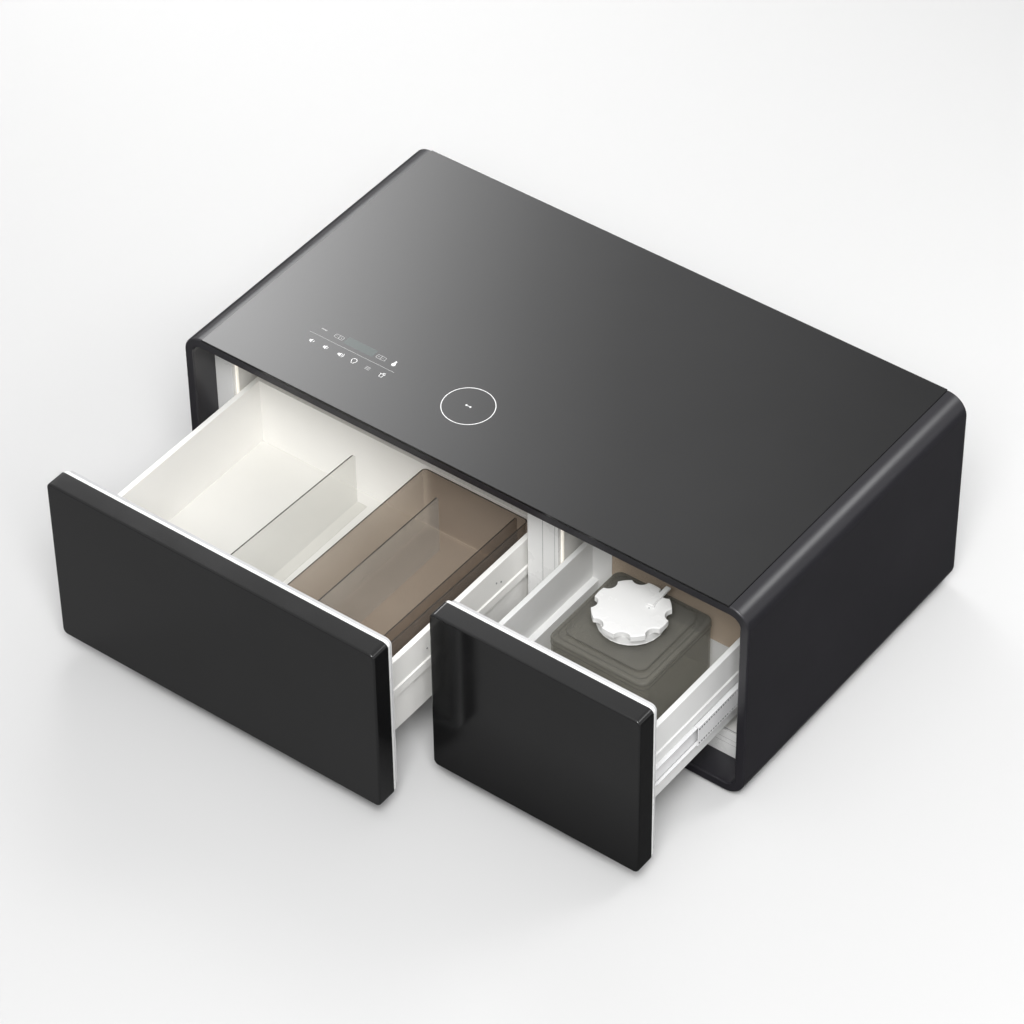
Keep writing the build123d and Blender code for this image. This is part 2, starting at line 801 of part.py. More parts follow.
compressor_x = mullion_x + compressor_from_post
compressor_y = (bay_y("right") + panel_y) / 2
plate_z = inner_bottom + grommet_height
inlet_x = inner_half - inlet_from_right
inlet_z = inner_bottom + inlet_rise
condenser_x = (compressor_x + compressor_radius + inlet_x - inlet_width / 2) / 2
supply_x = mullion_x - supply_from_post
control_x = control_from_left - inner_half
speaker_xs = (speaker_from_left - inner_half, mullion_x - speaker_from_post)


def compressor():
    x, y = compressor_x, compressor_y
    can = rod_z(x, y, plate_z + compressor_plate, plate_z + compressor_plate + compressor_height,
                compressor_radius)
    can = fillet(can.edges().group_by(Axis.Z)[-1], compressor_round)
    half = grommet_spacing / 2 + grommet_radius * 1.3
    can += rounded_z(x - half, x + half, y - half, y + half, plate_z, plate_z + compressor_plate,
                     grommet_radius)
    terminal = compressor_radius + 10
    return can + block(x - terminal, x, y - 18, y + 18, plate_z + 50, plate_z + 90)


def compressor_grommets():
    h = grommet_spacing / 2
    return group([rod_z(compressor_x + a * h, compressor_y + b * h, inner_bottom, plate_z, grommet_radius)
                  for a in (-1, 1) for b in (-1, 1)])


condenser_y1 = panel_y - fan_depth - condenser_fan_gap


def condenser():
    """Two header tanks with thin upright fins between them and a base rail on the floor."""
    x0, x1 = condenser_x - condenser_width / 2, condenser_x + condenser_width / 2
    y0, y1 = condenser_y1 - condenser_depth, condenser_y1
    z0, z1 = inner_bottom + condenser_tank, inner_bottom + condenser_tank + condenser_height
    body = block(x0, x1, y0, y1, inner_bottom, z0) + block(x0, x1, y0, y1, z1 - condenser_tank, z1)
    fin = 1.2
    step = (condenser_width - fin) / (condenser_fins - 1)
    for i in range(condenser_fins):
        x = x0 + i * step
        body += block(x, x + fin, y0, y1, z0, z1 - condenser_tank)
    return body


fan_z = inner_bottom + condenser_tank + condenser_height / 2
fan_y0 = panel_y - fan_depth


def fan_housing():
    x, y0, y1, half = condenser_x, fan_y0, panel_y, fan_size / 2
    body = rounded_y(x - half, x + half, fan_z - half, fan_z + half, y0, y1, fan_strut)
    body -= rod_y(x, y0 - 1, y1 + 1, fan_z, fan_bore)
    motor = fan_hub * 0.9
    plate = fan_strut * 0.6
    body += rod_y(x, y0, y0 + plate, fan_z, motor)
    for angle in (45, 135, 225, 315):
        strut = block(motor - 1, fan_bore + 1, y0, y0 + plate, -fan_strut / 2, fan_strut / 2)
        body += Pos(x, 0, fan_z) * Rot(0, angle, 0) * strut
    return body + rod_y(x, y0, y1 - fan_strut, fan_z, fan_shaft_radius)


def fan_rotor():
    x, y0, y1 = condenser_x, fan_y0 + fan_strut, panel_y - fan_strut / 2
    rotor = rod_y(x, y0, y1, fan_z, fan_hub)
    blade_y0, blade_y1 = y0 + 1, y1 - 1
    tip = fan_bore - fan_tip_gap
    for i in range(fan_blades):
        blade = Pos((fan_hub + tip) / 2 - 1, (blade_y0 + blade_y1) / 2, 0) * Rot(38, 0, 0) * Box(
            tip - fan_hub, 1.6, (blade_y1 - blade_y0) * 1.1)
        rotor += Pos(x, 0, fan_z) * Rot(0, i * 360 / fan_blades, 0) * blade
    return rotor - rod_y(x, y0 - 1, y1 + 1, fan_z, fan_shaft_radius + fan_shaft_gap)


def refrigerant_tube():
    """The pressure tube from the compressor's top over to the condenser's upper header."""
    start_z = plate_z + compressor_plate + compressor_height
    end_z = inner_bottom + condenser_tank + condenser_height
    high = start_z + tube_rise
    y_end = condenser_y1 - condenser_depth / 2
    points = [(compressor_x, compressor_y, start_z), (compressor_x, compressor_y, high),
              (condenser_x, y_end, high), (condenser_x, y_end, end_z)]
    path = FilletPolyline(*points, radius=tube_radius * 4)
    return sweep(Plane(origin=points[0], z_dir=(0, 0, 1)) * Circle(tube_radius), path=path)


def power_supply():
    x0, x1 = supply_x - supply_length / 2, supply_x + supply_length / 2
    y1 = panel_y
    z0 = inner_bottom
    case = block(x0, x1, y1 - supply_depth, y1, z0, z0 + supply_height)
    slots = 8
    for i in range(slots):
        x = x0 + supply_length * (i + 1) / (slots + 1)
        case -= block(x - 2, x + 2, y1 - supply_depth + 8, y1 - 8, z0 + supply_height - 2, z0 + supply_height + 1)
    return case


def control_board():
    x0, x1 = control_x - control_length / 2, control_x + control_length / 2
    z0 = inner_bottom + inner_height / 2 - control_height / 2
    z1 = z0 + control_height
    face = bay_y("left")
    board = block(x0, x1, face + standoff, face + standoff + board_thickness, z0, z1)
    for x in (x0 + standoff, x1 - standoff):
        for z in (z0 + standoff, z1 - standoff):
            board += rod_y(x, face, face + standoff, z, standoff / 2)
    columns = 4
    for i in range(columns):
        cx = x0 + control_length * (i + 0.5) / columns
        size = 9 + 3 * (i % 2)
        board += block(cx - size, cx + size, face + standoff + board_thickness,
                       face + standoff + board_thickness + chip_height, z0 + 24, z0 + 24 + 2 * size)
    return board


def power_inlet():
    """A mains socket in the back panel, with three blades in its well."""
    x0, x1 = inlet_x - inlet_width / 2, inlet_x + inlet_width / 2
    z0, z1 = inlet_z - inlet_height / 2, inlet_z + inlet_height / 2
    y1 = panel_y + back_panel_thickness
    body = block(x0, x1, y1 - inlet_depth, y1, z0, z1)
    lip = 3.0
    body += block(x0 - lip, x1 + lip, y1, y1 + 2, z0 - lip, z1 + lip)
    well = 4.0
    body -= rounded_y(x0 + well * 3, x1 - well * 3, z0 + well, z1 - well, y1 - inlet_depth + well, y1 + 3, 3)
    for dx, dz in ((-7, -1.5), (0, 2.5), (7, -1.5)):
        body += block(inlet_x + dx - 1, inlet_x + dx + 1, y1 - inlet_depth + well - 0.5, y1 - 4,
                      inlet_z + dz - 2, inlet_z + dz + 2)
    return body


speaker_z = inner_top - speaker_radius - speaker_drop


def speaker(x):
    """A round driver, its flange against the inside of the back panel and its cone facing out."""
    z = speaker_z
    body = rod_y(x, panel_y - speaker_flange, panel_y, z, speaker_radius)
    body += rod_y(x, panel_y - speaker_depth, panel_y - speaker_flange, z, speaker_radius * 0.55)
    depth = speaker_flange * 0.75
    cone = Pos(x, panel_y - depth / 2, z) * Rot(90, 0, 0) * Cone(
        speaker_radius * 0.6, speaker_radius * 0.85, depth)
    return body - cone


def slot_rows(x0, x1, z0, z1):
    """Upright slots that cover a rectangle of the back panel."""
    count = int((x1 - x0) / vent_pitch)
    start = (x0 + x1) / 2 - (count - 1) * vent_pitch / 2
    y0, y1 = panel_y - 1, panel_y + back_panel_thickness + 1
    middle = (z0 + z1) / 2
    slots = None
    for i in range(count):
        x = start + i * vent_pitch
        for a, b in ((z0, middle - vent_bridge / 2), (middle + vent_bridge / 2, z1)):
            slot = block(x - vent_slot / 2, x + vent_slot / 2, y0, y1, a, b)
            slots = slot if slots is None else slots + slot
    return slots


def panel_screw_places():
    edge = 14.0
    xs = [-inner_half + edge + i * (2 * inner_half - 2 * edge) / 4 for i in range(5)]
    return [(x, z) for x in xs for z in (inner_bottom + edge, inner_top - edge)]


def back_panel():
    panel = rounded_y(-inner_half, inner_half, inner_bottom, inner_top, panel_y,
                      panel_y + back_panel_thickness, relieved_corner)
    half = vent_half_width
    for x in (condenser_x, compressor_x):
        panel -= slot_rows(x - half, x + half, fan_z - half, fan_z + half)
    for x in speaker_xs:
        z = speaker_z
        panel -= slot_rows(x - speaker_radius * 0.7, x + speaker_radius * 0.7, z - speaker_radius * 0.6,
                           z + speaker_radius * 0.6)
    x0, x1 = inlet_x - inlet_width / 2, inlet_x + inlet_width / 2
    return panel - block(x0, x1, panel_y - 1, panel_y + back_panel_thickness + 1,
                         inlet_z - inlet_height / 2, inlet_z + inlet_height / 2)


def back_panel_screws():
    y = panel_y + back_panel_thickness
    solids = []
    for x, z in panel_screw_places():
        head = rod_y(x, y, y + panel_screw_head, z, panel_screw_radius)
        slot = panel_screw_head / 2
        head -= block(x - panel_screw_radius * 0.7, x + panel_screw_radius * 0.7, y + slot, y + slot * 3,
                      z - 0.6, z + 0.6)
        head -= block(x - 0.6, x + 0.6, y + slot, y + slot * 3, z - panel_screw_radius * 0.7,
                      z + panel_screw_radius * 0.7)
        solids.append(head)
    return group(solids)


def main():
    os.makedirs("parts", exist_ok=True)
    save("cabinet_shell", cabinet_shell())
    save("glass_top", glass_top())
    save("touch_board", touch_board())
    save("display_module", display_module())
    save("wireless_charger", wireless_charger())
    save("face_frame", face_frame())
    save("mullion_cover", mullion_cover())
    save("left_compartment", liner(left_x0, left_x1, cavity_y1["left"]))
    save("right_compartment", liner(right_x0, right_x1, cavity_y1["right"]))
    save("left_light_bar", light_bar(left_x0, opening_bottom + led_margin))
    save("right_light_bar", light_bar(right_x0, belt_bottom + led_margin))
    save("left_evaporator", evaporator(left_x0, left_x1, cavity_y1["left"]))
    save("right_evaporator", evaporator(right_x0, right_x1, cavity_y1["right"]))
    save("insulation", insulation())
    save("levelling_feet", feet())
    for side, inset, ledge in (("left", left_lower_inset, 0.0), ("right", 0.0, right_ledge_width)):
        save(f"{side}_front", front_tray(side))
        save(f"{side}_front_core", front_core(side))
        save(f"{side}_front_liner", front_liner(side))
        save(f"{side}_gasket", gasket(side))
        save(f"{side}_drawer_box", drawer_box(side, inset, ledge))
    for rank, name in enumerate(("drawer", "middle", "cabinet")):
        save(f"left_{name}_runners", left_runners(rank))
        save(f"right_{name}_runners", right_runners(rank))
    save("clear_divider", clear_divider())
    save("tinted_bin", tinted_bin())
    for side in partitions:
        save(f"{side}_bin_partition", bin_partition(**partitions[side]))
    save("tank_body", tank_body())
    save("tank_seal", tank_seal())
    save("tank_cap", tank_cap())
    save("tank_lever", tank_lever())
    save("rear_guard", rear_guard())
    save("compressor", compressor())
    save("compressor_grommets", compressor_grommets())
    save("condenser", condenser())
    save("fan_housing", fan_housing())
    save("fan_rotor", fan_rotor())
    save("refrigerant_tube", refrigerant_tube())
    save("power_supply", power_supply())
    save("control_board", control_board())
    save("power_inlet", power_inlet())
    for side, x in zip(("left", "right"), speaker_xs):
        save(f"{side}_speaker", speaker(x))
    save("back_panel", back_panel())
    save("back_panel_screws", back_panel_screws())


main()
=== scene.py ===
import math
from collections import namedtuple

import bpy
import numpy as np
from bpy.props import BoolProperty, FloatProperty, FloatVectorProperty, IntProperty, PointerProperty
from mathutils import Matrix, Vector


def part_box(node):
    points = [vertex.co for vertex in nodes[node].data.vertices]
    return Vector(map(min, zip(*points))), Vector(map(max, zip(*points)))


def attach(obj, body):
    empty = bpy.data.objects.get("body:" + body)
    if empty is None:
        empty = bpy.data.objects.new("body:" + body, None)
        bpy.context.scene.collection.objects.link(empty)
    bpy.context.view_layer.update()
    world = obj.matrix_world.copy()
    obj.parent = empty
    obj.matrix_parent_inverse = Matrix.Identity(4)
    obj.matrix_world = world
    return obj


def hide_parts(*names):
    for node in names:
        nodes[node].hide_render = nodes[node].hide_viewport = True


bl_info = {
    "name": "Smart coffee table",
    "version": (1, 0, 0),
    "blender": (4, 5, 0),
    "location": "View3D > Sidebar > Table",
    "description": "Builds the looks of a smart coffee table round its CAD model",
    "category": "Object",
}

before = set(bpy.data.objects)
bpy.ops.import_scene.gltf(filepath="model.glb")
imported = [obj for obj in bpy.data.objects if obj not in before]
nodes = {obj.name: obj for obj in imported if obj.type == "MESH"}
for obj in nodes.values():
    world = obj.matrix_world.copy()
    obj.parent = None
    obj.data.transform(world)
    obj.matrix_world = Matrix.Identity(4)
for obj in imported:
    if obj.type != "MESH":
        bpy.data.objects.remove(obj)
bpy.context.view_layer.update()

MM = 0.001

# Finish of the CAD nodes: merge distance, sharp angle in degrees, and how far a clear node is drawn in
WELD = 0.00001
SHARP_ANGLE = 30.0
HAIR = 0.00015

# Screw heads on the left drawer box's belts
SCREW_FROM_END = 0.150
SCREW_PITCH = 0.014
SCREW_DROP = 0.041
SCREW_STAGGER = 0.0035
SCREW_RADIUS = 0.0018
SCREW_RISE = 0.0006

# A dome's last ring in degrees from its foot, its rings and its sides
DOME_TOP = 80
DOME_RINGS = 4
DOME_SIDES = 12

# Side runners
RUNNER_SHEET = 0.002
CHANNEL_DEPTH = 0.0059
TOOTH_PITCH = 0.004
TOOTH_START = 0.75
TOOTH_RISE = 0.0008
TOOTH_HEIGHT = 0.0016
BALL_PITCH = 0.0075
BALL_INSET = 0.0062
BALL_RADIUS = 0.0022
BALL_RISE = 0.0003

# Face frame: dark strips as painted shade in the joints beside the mullion's cover and along the sill, by
# their rise over its foot
JOINT_SHADE_WIDTH = 0.0008
JOINT_SHADE_RISE = 0.00004
SILL_JOINT_SHADES = (0.030, 0.042, 0.067)
SILL_END = 0.020

# Gaskets
GASKET_WIDTH = 0.012
GASKET_CORNER = 0.006
GASKET_PINCH = 0.0012
GASKET_SHARP = 1.2

# Tank and cap
TANK_HEIGHT = 0.145
TANK_CORNER = 0.018
TANK_BEAD = 0.0009
TANK_BEAD_DROP = 0.006
TANK_BEAD_GAP = 0.010
PLATEAU_INSET = 0.020
PLATEAU_HEIGHT = 0.008
CAP_SKIRT = 0.0635
CAP_BEAD = 0.0009
CAP_BODY = 0.033
PIN_HOLE = 0.0016
PIN_HOLE_SINK = 0.0002
PIN_HOLE_RISE = 0.0001

# A corner radius just under half the width, which makes a rounded rectangle round
NEARLY_ROUND = 0.999


# Surfaces


Surface = namedtuple("Surface", "points quads caps")


def new_object(name, surface, material, body, sharp=0.6):
    """A mesh object at the origin, with its points in the shared frame in metres. It rides on a
    body, takes the given material, and shades smooth up to the angle sharp in radians."""
    mesh = bpy.data.meshes.new(name)
    faces = surface.quads.tolist() + [cap.tolist() for cap in surface.caps]
    mesh.from_pydata(surface.points.tolist(), [], faces)
    mesh.validate()
    mesh.polygons.foreach_set("use_smooth", [True] * len(mesh.polygons))
    mesh.set_sharp_from_angle(angle=sharp)
    mesh.materials.append(material)
    obj = bpy.data.objects.new(name, mesh)
    bpy.context.scene.collection.objects.link(obj)
    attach(obj, body)
    return obj


def outward(points, quads, caps):
    """A closed surface with its faces turned outwards. Its volume is the sum over its triangles of
    a . (b x c) / 6, and where that is negative the faces turn over."""
    fans = [quads[:, [0, 1, 2]], quads[:, [0, 2, 3]]]
    for cap in caps:
        fans.append(np.stack([np.full(len(cap) - 2, cap[0]), cap[1:-1], cap[2:]], 1))
    a, b, c = (points[corner] for corner in np.concatenate(fans).T)
    if np.sum(a * np.cross(b, c)) >= 0:
        return Surface(points, quads, caps)
    return Surface(points, quads[:, ::-1], [cap[::-1] for cap in caps])


def grid(rows, close_rows=False, cap_ends=False):
    """A surface through equally long rows of points, each row closed on itself. The rows may close
    into a ring, or the first and the last row may be capped flat."""
    rows = np.asarray(rows, float)
    count, length = rows.shape[:2]
    i, j = np.meshgrid(np.arange(count if close_rows else count - 1), np.arange(length), indexing="ij")
    here, there = i * length, (i + 1) % count * length
    left, right = j, (j + 1) % length
    quads = np.stack([here + left, here + right, there + right, there + left], -1).reshape(-1, 4)
    first = np.arange(length)
    caps = [first[::-1], first + (count - 1) * length] if cap_ends else []
    return outward(rows.reshape(-1, 3), quads, caps)


def rounded_outline(width, height, radius, steps):
    """Points round a rectangle with rounded corners, and the outward normal at each. On a corner
    with its centre at c, the point at the angle t is c + radius (cos t, sin t)."""
    signs = np.array([(1, 1), (-1, 1), (-1, -1), (1, -1)], float)
    t = (np.arange(4)[:, None] + np.arange(steps + 1) / steps) * math.pi / 2
    normals = np.stack([np.cos(t), np.sin(t)], -1)
    centres = signs[:, None] * (np.array([width, height]) / 2 - radius)
    return (centres + radius * normals).reshape(-1, 2), normals.reshape(-1, 2)


AXES = {"xy": np.eye(3)[[0, 1, 2]], "xz": np.eye(3)[[0, 2, 1]], "yz": np.eye(3)[[1, 2, 0]]}


def swept(outline, normals, profile, centre, plane):
    """Rows of points for a profile carried round an outline. The profile's step (offset, along) lies
    at outline + offset * normal, and along the plane's third axis from the centre."""
    across, up, out = AXES[plane]
    profile = np.asarray(profile, float)
    flat = outline + profile[:, None, :1] * normals
    return np.asarray(centre) + flat[..., :1] * across + flat[..., 1:] * up + profile[:, None, 1:] * out


def arc(cx, cy, radius, start, end, steps):
    """Steps of a profile on an arc, (cx + radius cos t, cy + radius sin t), with t in degrees."""
    t = np.radians(np.linspace(start, end, steps))
    return np.stack([cx + radius * np.cos(t), cy + radius * np.sin(t)], 1)


def slab(low, high, bevel):
    """A box from its lowest to its highest corner. Its section through every edge is a quarter
    circle of the radius bevel."""
    low, high = np.asarray(low), np.asarray(high)
    width, depth, height = high - low
    outline, normals = rounded_outline(width, depth, bevel, 3)
    profile = np.concatenate([arc(-bevel, bevel - height / 2, bevel, -90, 0, 4),
                              arc(-bevel, height / 2 - bevel, bevel, 0, 90, 4)])
    return grid(swept(outline, normals, profile, (low + high) / 2, "xy"), cap_ends=True)


def domed_head(centre, radius, rise, out):
    """A low dome on a wall that faces along X. At the angle t its profile lies radius cos t from
    its axis and rise sin t off the wall, and its foot goes as far into the wall."""
    dome = arc(0, 0, 1, 0, DOME_TOP, DOME_RINGS) * (radius, rise)
    profile = np.concatenate([[(radius, -rise)], dome]) * (1, out)
    circle = arc(0, 0, 1, 0, 360, DOME_SIDES + 1)[:-1]
    return grid(swept(0 * circle, circle, profile, centre, "yz"), cap_ends=True)


def bead_ring(width, depth, corner, bead, centre):
    """A thin round bead in a level ring round a rounded rectangle. Its section is the circle
    bead (cos t, sin t)."""
    outline, normals = rounded_outline(width, depth, corner, 6)
    section = arc(0, 0, bead, 0, 360, 9)[:-1]
    return grid(swept(outline, normals, section, centre, "xy"), close_rows=True)


def joined(parts):
    """Several surfaces as one."""
    bases = np.cumsum([0] + [len(part.points) for part in parts[:-1]])
    points = np.concatenate([part.points for part in parts])
    quads = np.concatenate([part.quads + base for part, base in zip(parts, bases)])
    caps = [cap + base for part, base in zip(parts, bases) for cap in part.caps]
    return Surface(points, quads, caps)


def ribbon(line, width, bottom, top, closed=False):
    """A flat stroke along a line of (x, y) points. Its sides lie half the width off the line, along
    the normal of the mean direction at each point."""
    p = np.asarray(line, float)
    d = np.roll(p, -1, 0) - np.roll(p, 1, 0) if closed else np.gradient(p, axis=0)
    d /= np.linalg.norm(d, axis=1)[:, None]
    n = np.stack([-d[:, 1], d[:, 0]], 1) * width / 2
    edges = [(p - n, bottom), (p + n, bottom), (p + n, top), (p - n, top)]
    rows = np.stack([np.column_stack([side, np.full(len(p), z)]) for side, z in edges], 1)
    return grid(rows, close_rows=closed, cap_ends=not closed)


def blot(outline, bottom, top):
    """A flat filled shape inside an outline of (x, y) points."""
    p = np.asarray(outline, float)
    return grid([np.column_stack([p, np.full(len(p), z)]) for z in (bottom, top)], cap_ends=True)


# Shader groups


def node_group(name, inputs, outputs):
    """A shader group with its sockets: inputs are (name, kind, default), outputs (name, kind)."""
    tree = bpy.data.node_groups.new(name, "ShaderNodeTree")
    for label, kind, default in inputs:
        socket = tree.interface.new_socket(label, in_out="INPUT", socket_type=kind)
        socket.default_value = default
    for label, kind in outputs:
        tree.interface.new_socket(label, in_out="OUTPUT", socket_type=kind)
    return tree, tree.nodes.new("NodeGroupInput"), tree.nodes.new("NodeGroupOutput")


def node(tree, kind, **given):
    """A node with its settings and sockets. A name that starts with _ is a setting, i and a number
    is a socket by its place, and any other name is a socket by its label. A socket's value is a
    constant, or another node's output, which is linked."""
    made = tree.nodes.new(kind)
    for key, value in given.items():
        if key.startswith("_"):
            setattr(made, key[1:], value)
    for key, value in given.items():
        if key.startswith("_"):
            continue
        numbered = key[0] == "i" and key[1:].isdigit()
        socket = made.inputs[int(key[1:]) if numbered else key.replace("_", " ")]
        if isinstance(value, bpy.types.NodeSocket):
            tree.links.new(value, socket)
        else:
            socket.default_value = value
    return made


def maths(tree, operation, *values, clamp=False):
    """The output of a Math node."""
    sockets = {f"i{k}": value for k, value in enumerate(values)}
    return node(tree, "ShaderNodeMath", _operation=operation, _use_clamp=clamp, **sockets).outputs[0]


def ramped(tree, value, low, high, **given):
    """The output of a Map Range node that takes low to 0 and high to 1, unless given otherwise."""
    made = node(tree, "ShaderNodeMapRange", Value=value, From_Min=low, From_Max=high, **given)
    return made.outputs[0]


def blend(tree, factor, first, second, how="MIX"):
    """The colour output of a Mix node. Each colour is a constant or an output."""
    return node(tree, "ShaderNodeMix", _data_type="RGBA", _blend_type=how, Factor=factor, i6=first,
                i7=second).outputs[2]


def noise(tree, place, scale, detail, **given):
    """The value of a Noise Texture."""
    made = node(tree, "ShaderNodeTexNoise", Vector=place, Scale=scale, Detail=detail, **given)
    return made.outputs["Fac"]


def object_place(tree):
    """Object coordinates."""
    return node(tree, "ShaderNodeTexCoord").outputs["Object"]


def fine_grain_group():
    """Moulding or lacquer texture: a fine noise as a normal, and a soft noise by which the
    roughness varies round its mean."""
    tree, start, end = node_group(
        "Fine grain",
        [("Scale", "NodeSocketFloat", 900.0), ("Depth", "NodeSocketFloat", 0.1),
         ("Roughness", "NodeSocketFloat", 0.4), ("Variation", "NodeSocketFloat", 0.08)],
        [("Roughness", "NodeSocketFloat"), ("Normal", "NodeSocketVector")])
    place = object_place(tree)
    fine = noise(tree, place, start.outputs["Scale"], 3.0)
    cloud = noise(tree, place, 7.0, 5.0, Roughness=0.65)
    spread = maths(tree, "SUBTRACT", cloud, 0.5)
    rough = maths(tree, "MULTIPLY_ADD", spread, start.outputs["Variation"], start.outputs["Roughness"],
                  clamp=True)
    bump = node(tree, "ShaderNodeBump", Strength=start.outputs["Depth"], Distance=0.0002, Height=fine)
    tree.links.new(rough, end.inputs["Roughness"])
    tree.links.new(bump.outputs["Normal"], end.inputs["Normal"])
    return tree


def soft_wear_group():
    """Handling marks: a mask of thin scratches and faint smears, for mixing into a colour."""
    tree, start, end = node_group(
        "Soft wear", [("Amount", "NodeSocketFloat", 0.5)], [("Mask", "NodeSocketFloat")])
    place = object_place(tree)
    stretch = node(tree, "ShaderNodeMapping", Vector=place, Scale=(3.0, 60.0, 60.0)).outputs[0]
    scratches = ramped(tree, noise(tree, stretch, 6.0, 8.0, Roughness=0.7), 0.66, 0.74)
    smears = ramped(tree, noise(tree, place, 4.0, 4.0), 0.45, 0.75)
    both = maths(tree, "MULTIPLY_ADD", scratches, 0.5, smears)
    mask = maths(tree, "MULTIPLY", both, start.outputs["Amount"], clamp=True)
    tree.links.new(mask, end.inputs["Mask"])
    return tree


def rolled_metal_group():
    """Rolled metal: noise stretched along Y, as a roughness and a normal."""
    tree, start, end = node_group(
        "Rolled metal", [("Roughness", "NodeSocketFloat", 0.3)],
        [("Roughness", "NodeSocketFloat"), ("Normal", "NodeSocketVector")])
    stretch = node(tree, "ShaderNodeMapping", Vector=object_place(tree), Scale=(900.0, 12.0, 900.0))
    streak = noise(tree, stretch.outputs[0], 1.0, 4.0)
    rough = maths(tree, "MULTIPLY_ADD", streak, 0.18, start.outputs["Roughness"])
    bump = node(tree, "ShaderNodeBump", Strength=0.12, Distance=0.0002, Height=streak)
    tree.links.new(rough, end.inputs["Roughness"])
    tree.links.new(bump.outputs["Normal"], end.inputs["Normal"])
    return tree


GROUP_MAKERS = {
    "Fine grain": fine_grain_group,
    "Soft wear": soft_wear_group,
    "Rolled metal": rolled_metal_group,
}
GROUPS = {}


def group_node(tree, name, **values):
    """An instance of one of the shared groups, which is built on first use."""
    if name not in GROUPS:
        GROUPS[name] = GROUP_MAKERS[name]()
    made = tree.nodes.new("ShaderNodeGroup")
    made.node_tree = GROUPS[name]
    for key, value in values.items():
        made.inputs[key].default_value = value
    return made


# Materials


# Painted shade on a drawer's floor and on a clear sheet's edges, and the full light of a shadow ray
DRAWER_FLOOR_SHADE = (0.8, 0.8, 0.79, 1)
SHEET_EDGE_SHADE = (0.1, 0.09, 0.08, 1)
UNTINTED = (1, 1, 1, 1)

CLEAR_INDEX = 1.4
SHADOW_LIFT = 0.5
UP = 0.8


def blank(name):
    """A material with its node tree and its Principled node."""
    made = bpy.data.materials.new(name)
    made.use_nodes = True
    return made, made.node_tree, made.node_tree.nodes["Principled BSDF"]


def surface_of(tree, main, colour, texture):
    """Links a colour, and a texture group's roughness and normal, to the Principled node."""
    tree.links.new(colour, main.inputs["Base Color"])
    tree.links.new(texture.outputs["Roughness"], main.inputs["Roughness"])
    tree.links.new(texture.outputs["Normal"], main.inputs["Normal"])


def output_of(tree, shader):
    """Links a shader to the material's output."""
    tree.links.new(shader, tree.nodes["Material Output"].inputs["Surface"])


def upward_face(tree, place, height, below=False):
    """1 on faces that point up and lie above a height, or below it, else 0."""
    true_normal = node(tree, "ShaderNodeNewGeometry").outputs["True Normal"]
    facing = node(tree, "ShaderNodeSeparateXYZ", Vector=true_normal).outputs["Z"]
    level = node(tree, "ShaderNodeSeparateXYZ", Vector=place).outputs["Z"]
    side = maths(tree, "LESS_THAN" if below else "GREATER_THAN", level, height)
    return maths(tree, "MULTIPLY", maths(tree, "GREATER_THAN", facing, UP), side)


def coated(name, low, high, roughness, grain=900.0, depth=0.08, variation=0.1, wear=0.15,
           specular=0.5, cloud=5.0, shaded_below=None):
    """Paint or plastic. Its colour drifts between two tones with a soft noise, worn parts go to
    the lighter one, and the grain group gives roughness and normal. Upward faces below the
    height given for the drawer floors are darker: painted shade on the floor of a drawer box."""
    made, tree, main = blank(name)
    place = object_place(tree)
    marks = group_node(tree, "Soft wear", Amount=wear).outputs["Mask"]
    total = maths(tree, "MAXIMUM", noise(tree, place, cloud, 6.0, Roughness=0.6), marks)
    ramp = node(tree, "ShaderNodeValToRGB", Fac=total)
    for element, position, tone in zip(ramp.color_ramp.elements, (0.3, 0.75), (low, high)):
        element.position = position
        element.color = (*tone, 1)
    colour = ramp.outputs["Color"]
    # Painted shade: upward faces below the given height, the floors of the drawer boxes, are darkened.
    if shaded_below is not None:
        floor_shade = upward_face(tree, place, shaded_below, below=True)
        colour = blend(tree, floor_shade, colour, DRAWER_FLOOR_SHADE, how="MULTIPLY")
    surface_of(tree, main, colour, group_node(tree, "Fine grain", Scale=grain, Depth=depth,
                                              Roughness=roughness, Variation=variation))
    main.inputs["Specular IOR Level"].default_value = specular
    return made


def rolled(name, low, high, roughness):
    """Bare metal with streaks along Y."""
    made, tree, main = blank(name)
    tone = blend(tree, noise(tree, object_place(tree), 40.0, 5.0), (*low, 1), (*high, 1))
    surface_of(tree, main, tone, group_node(tree, "Rolled metal", Roughness=roughness))
    main.inputs["Metallic"].default_value = 1.0
    return made


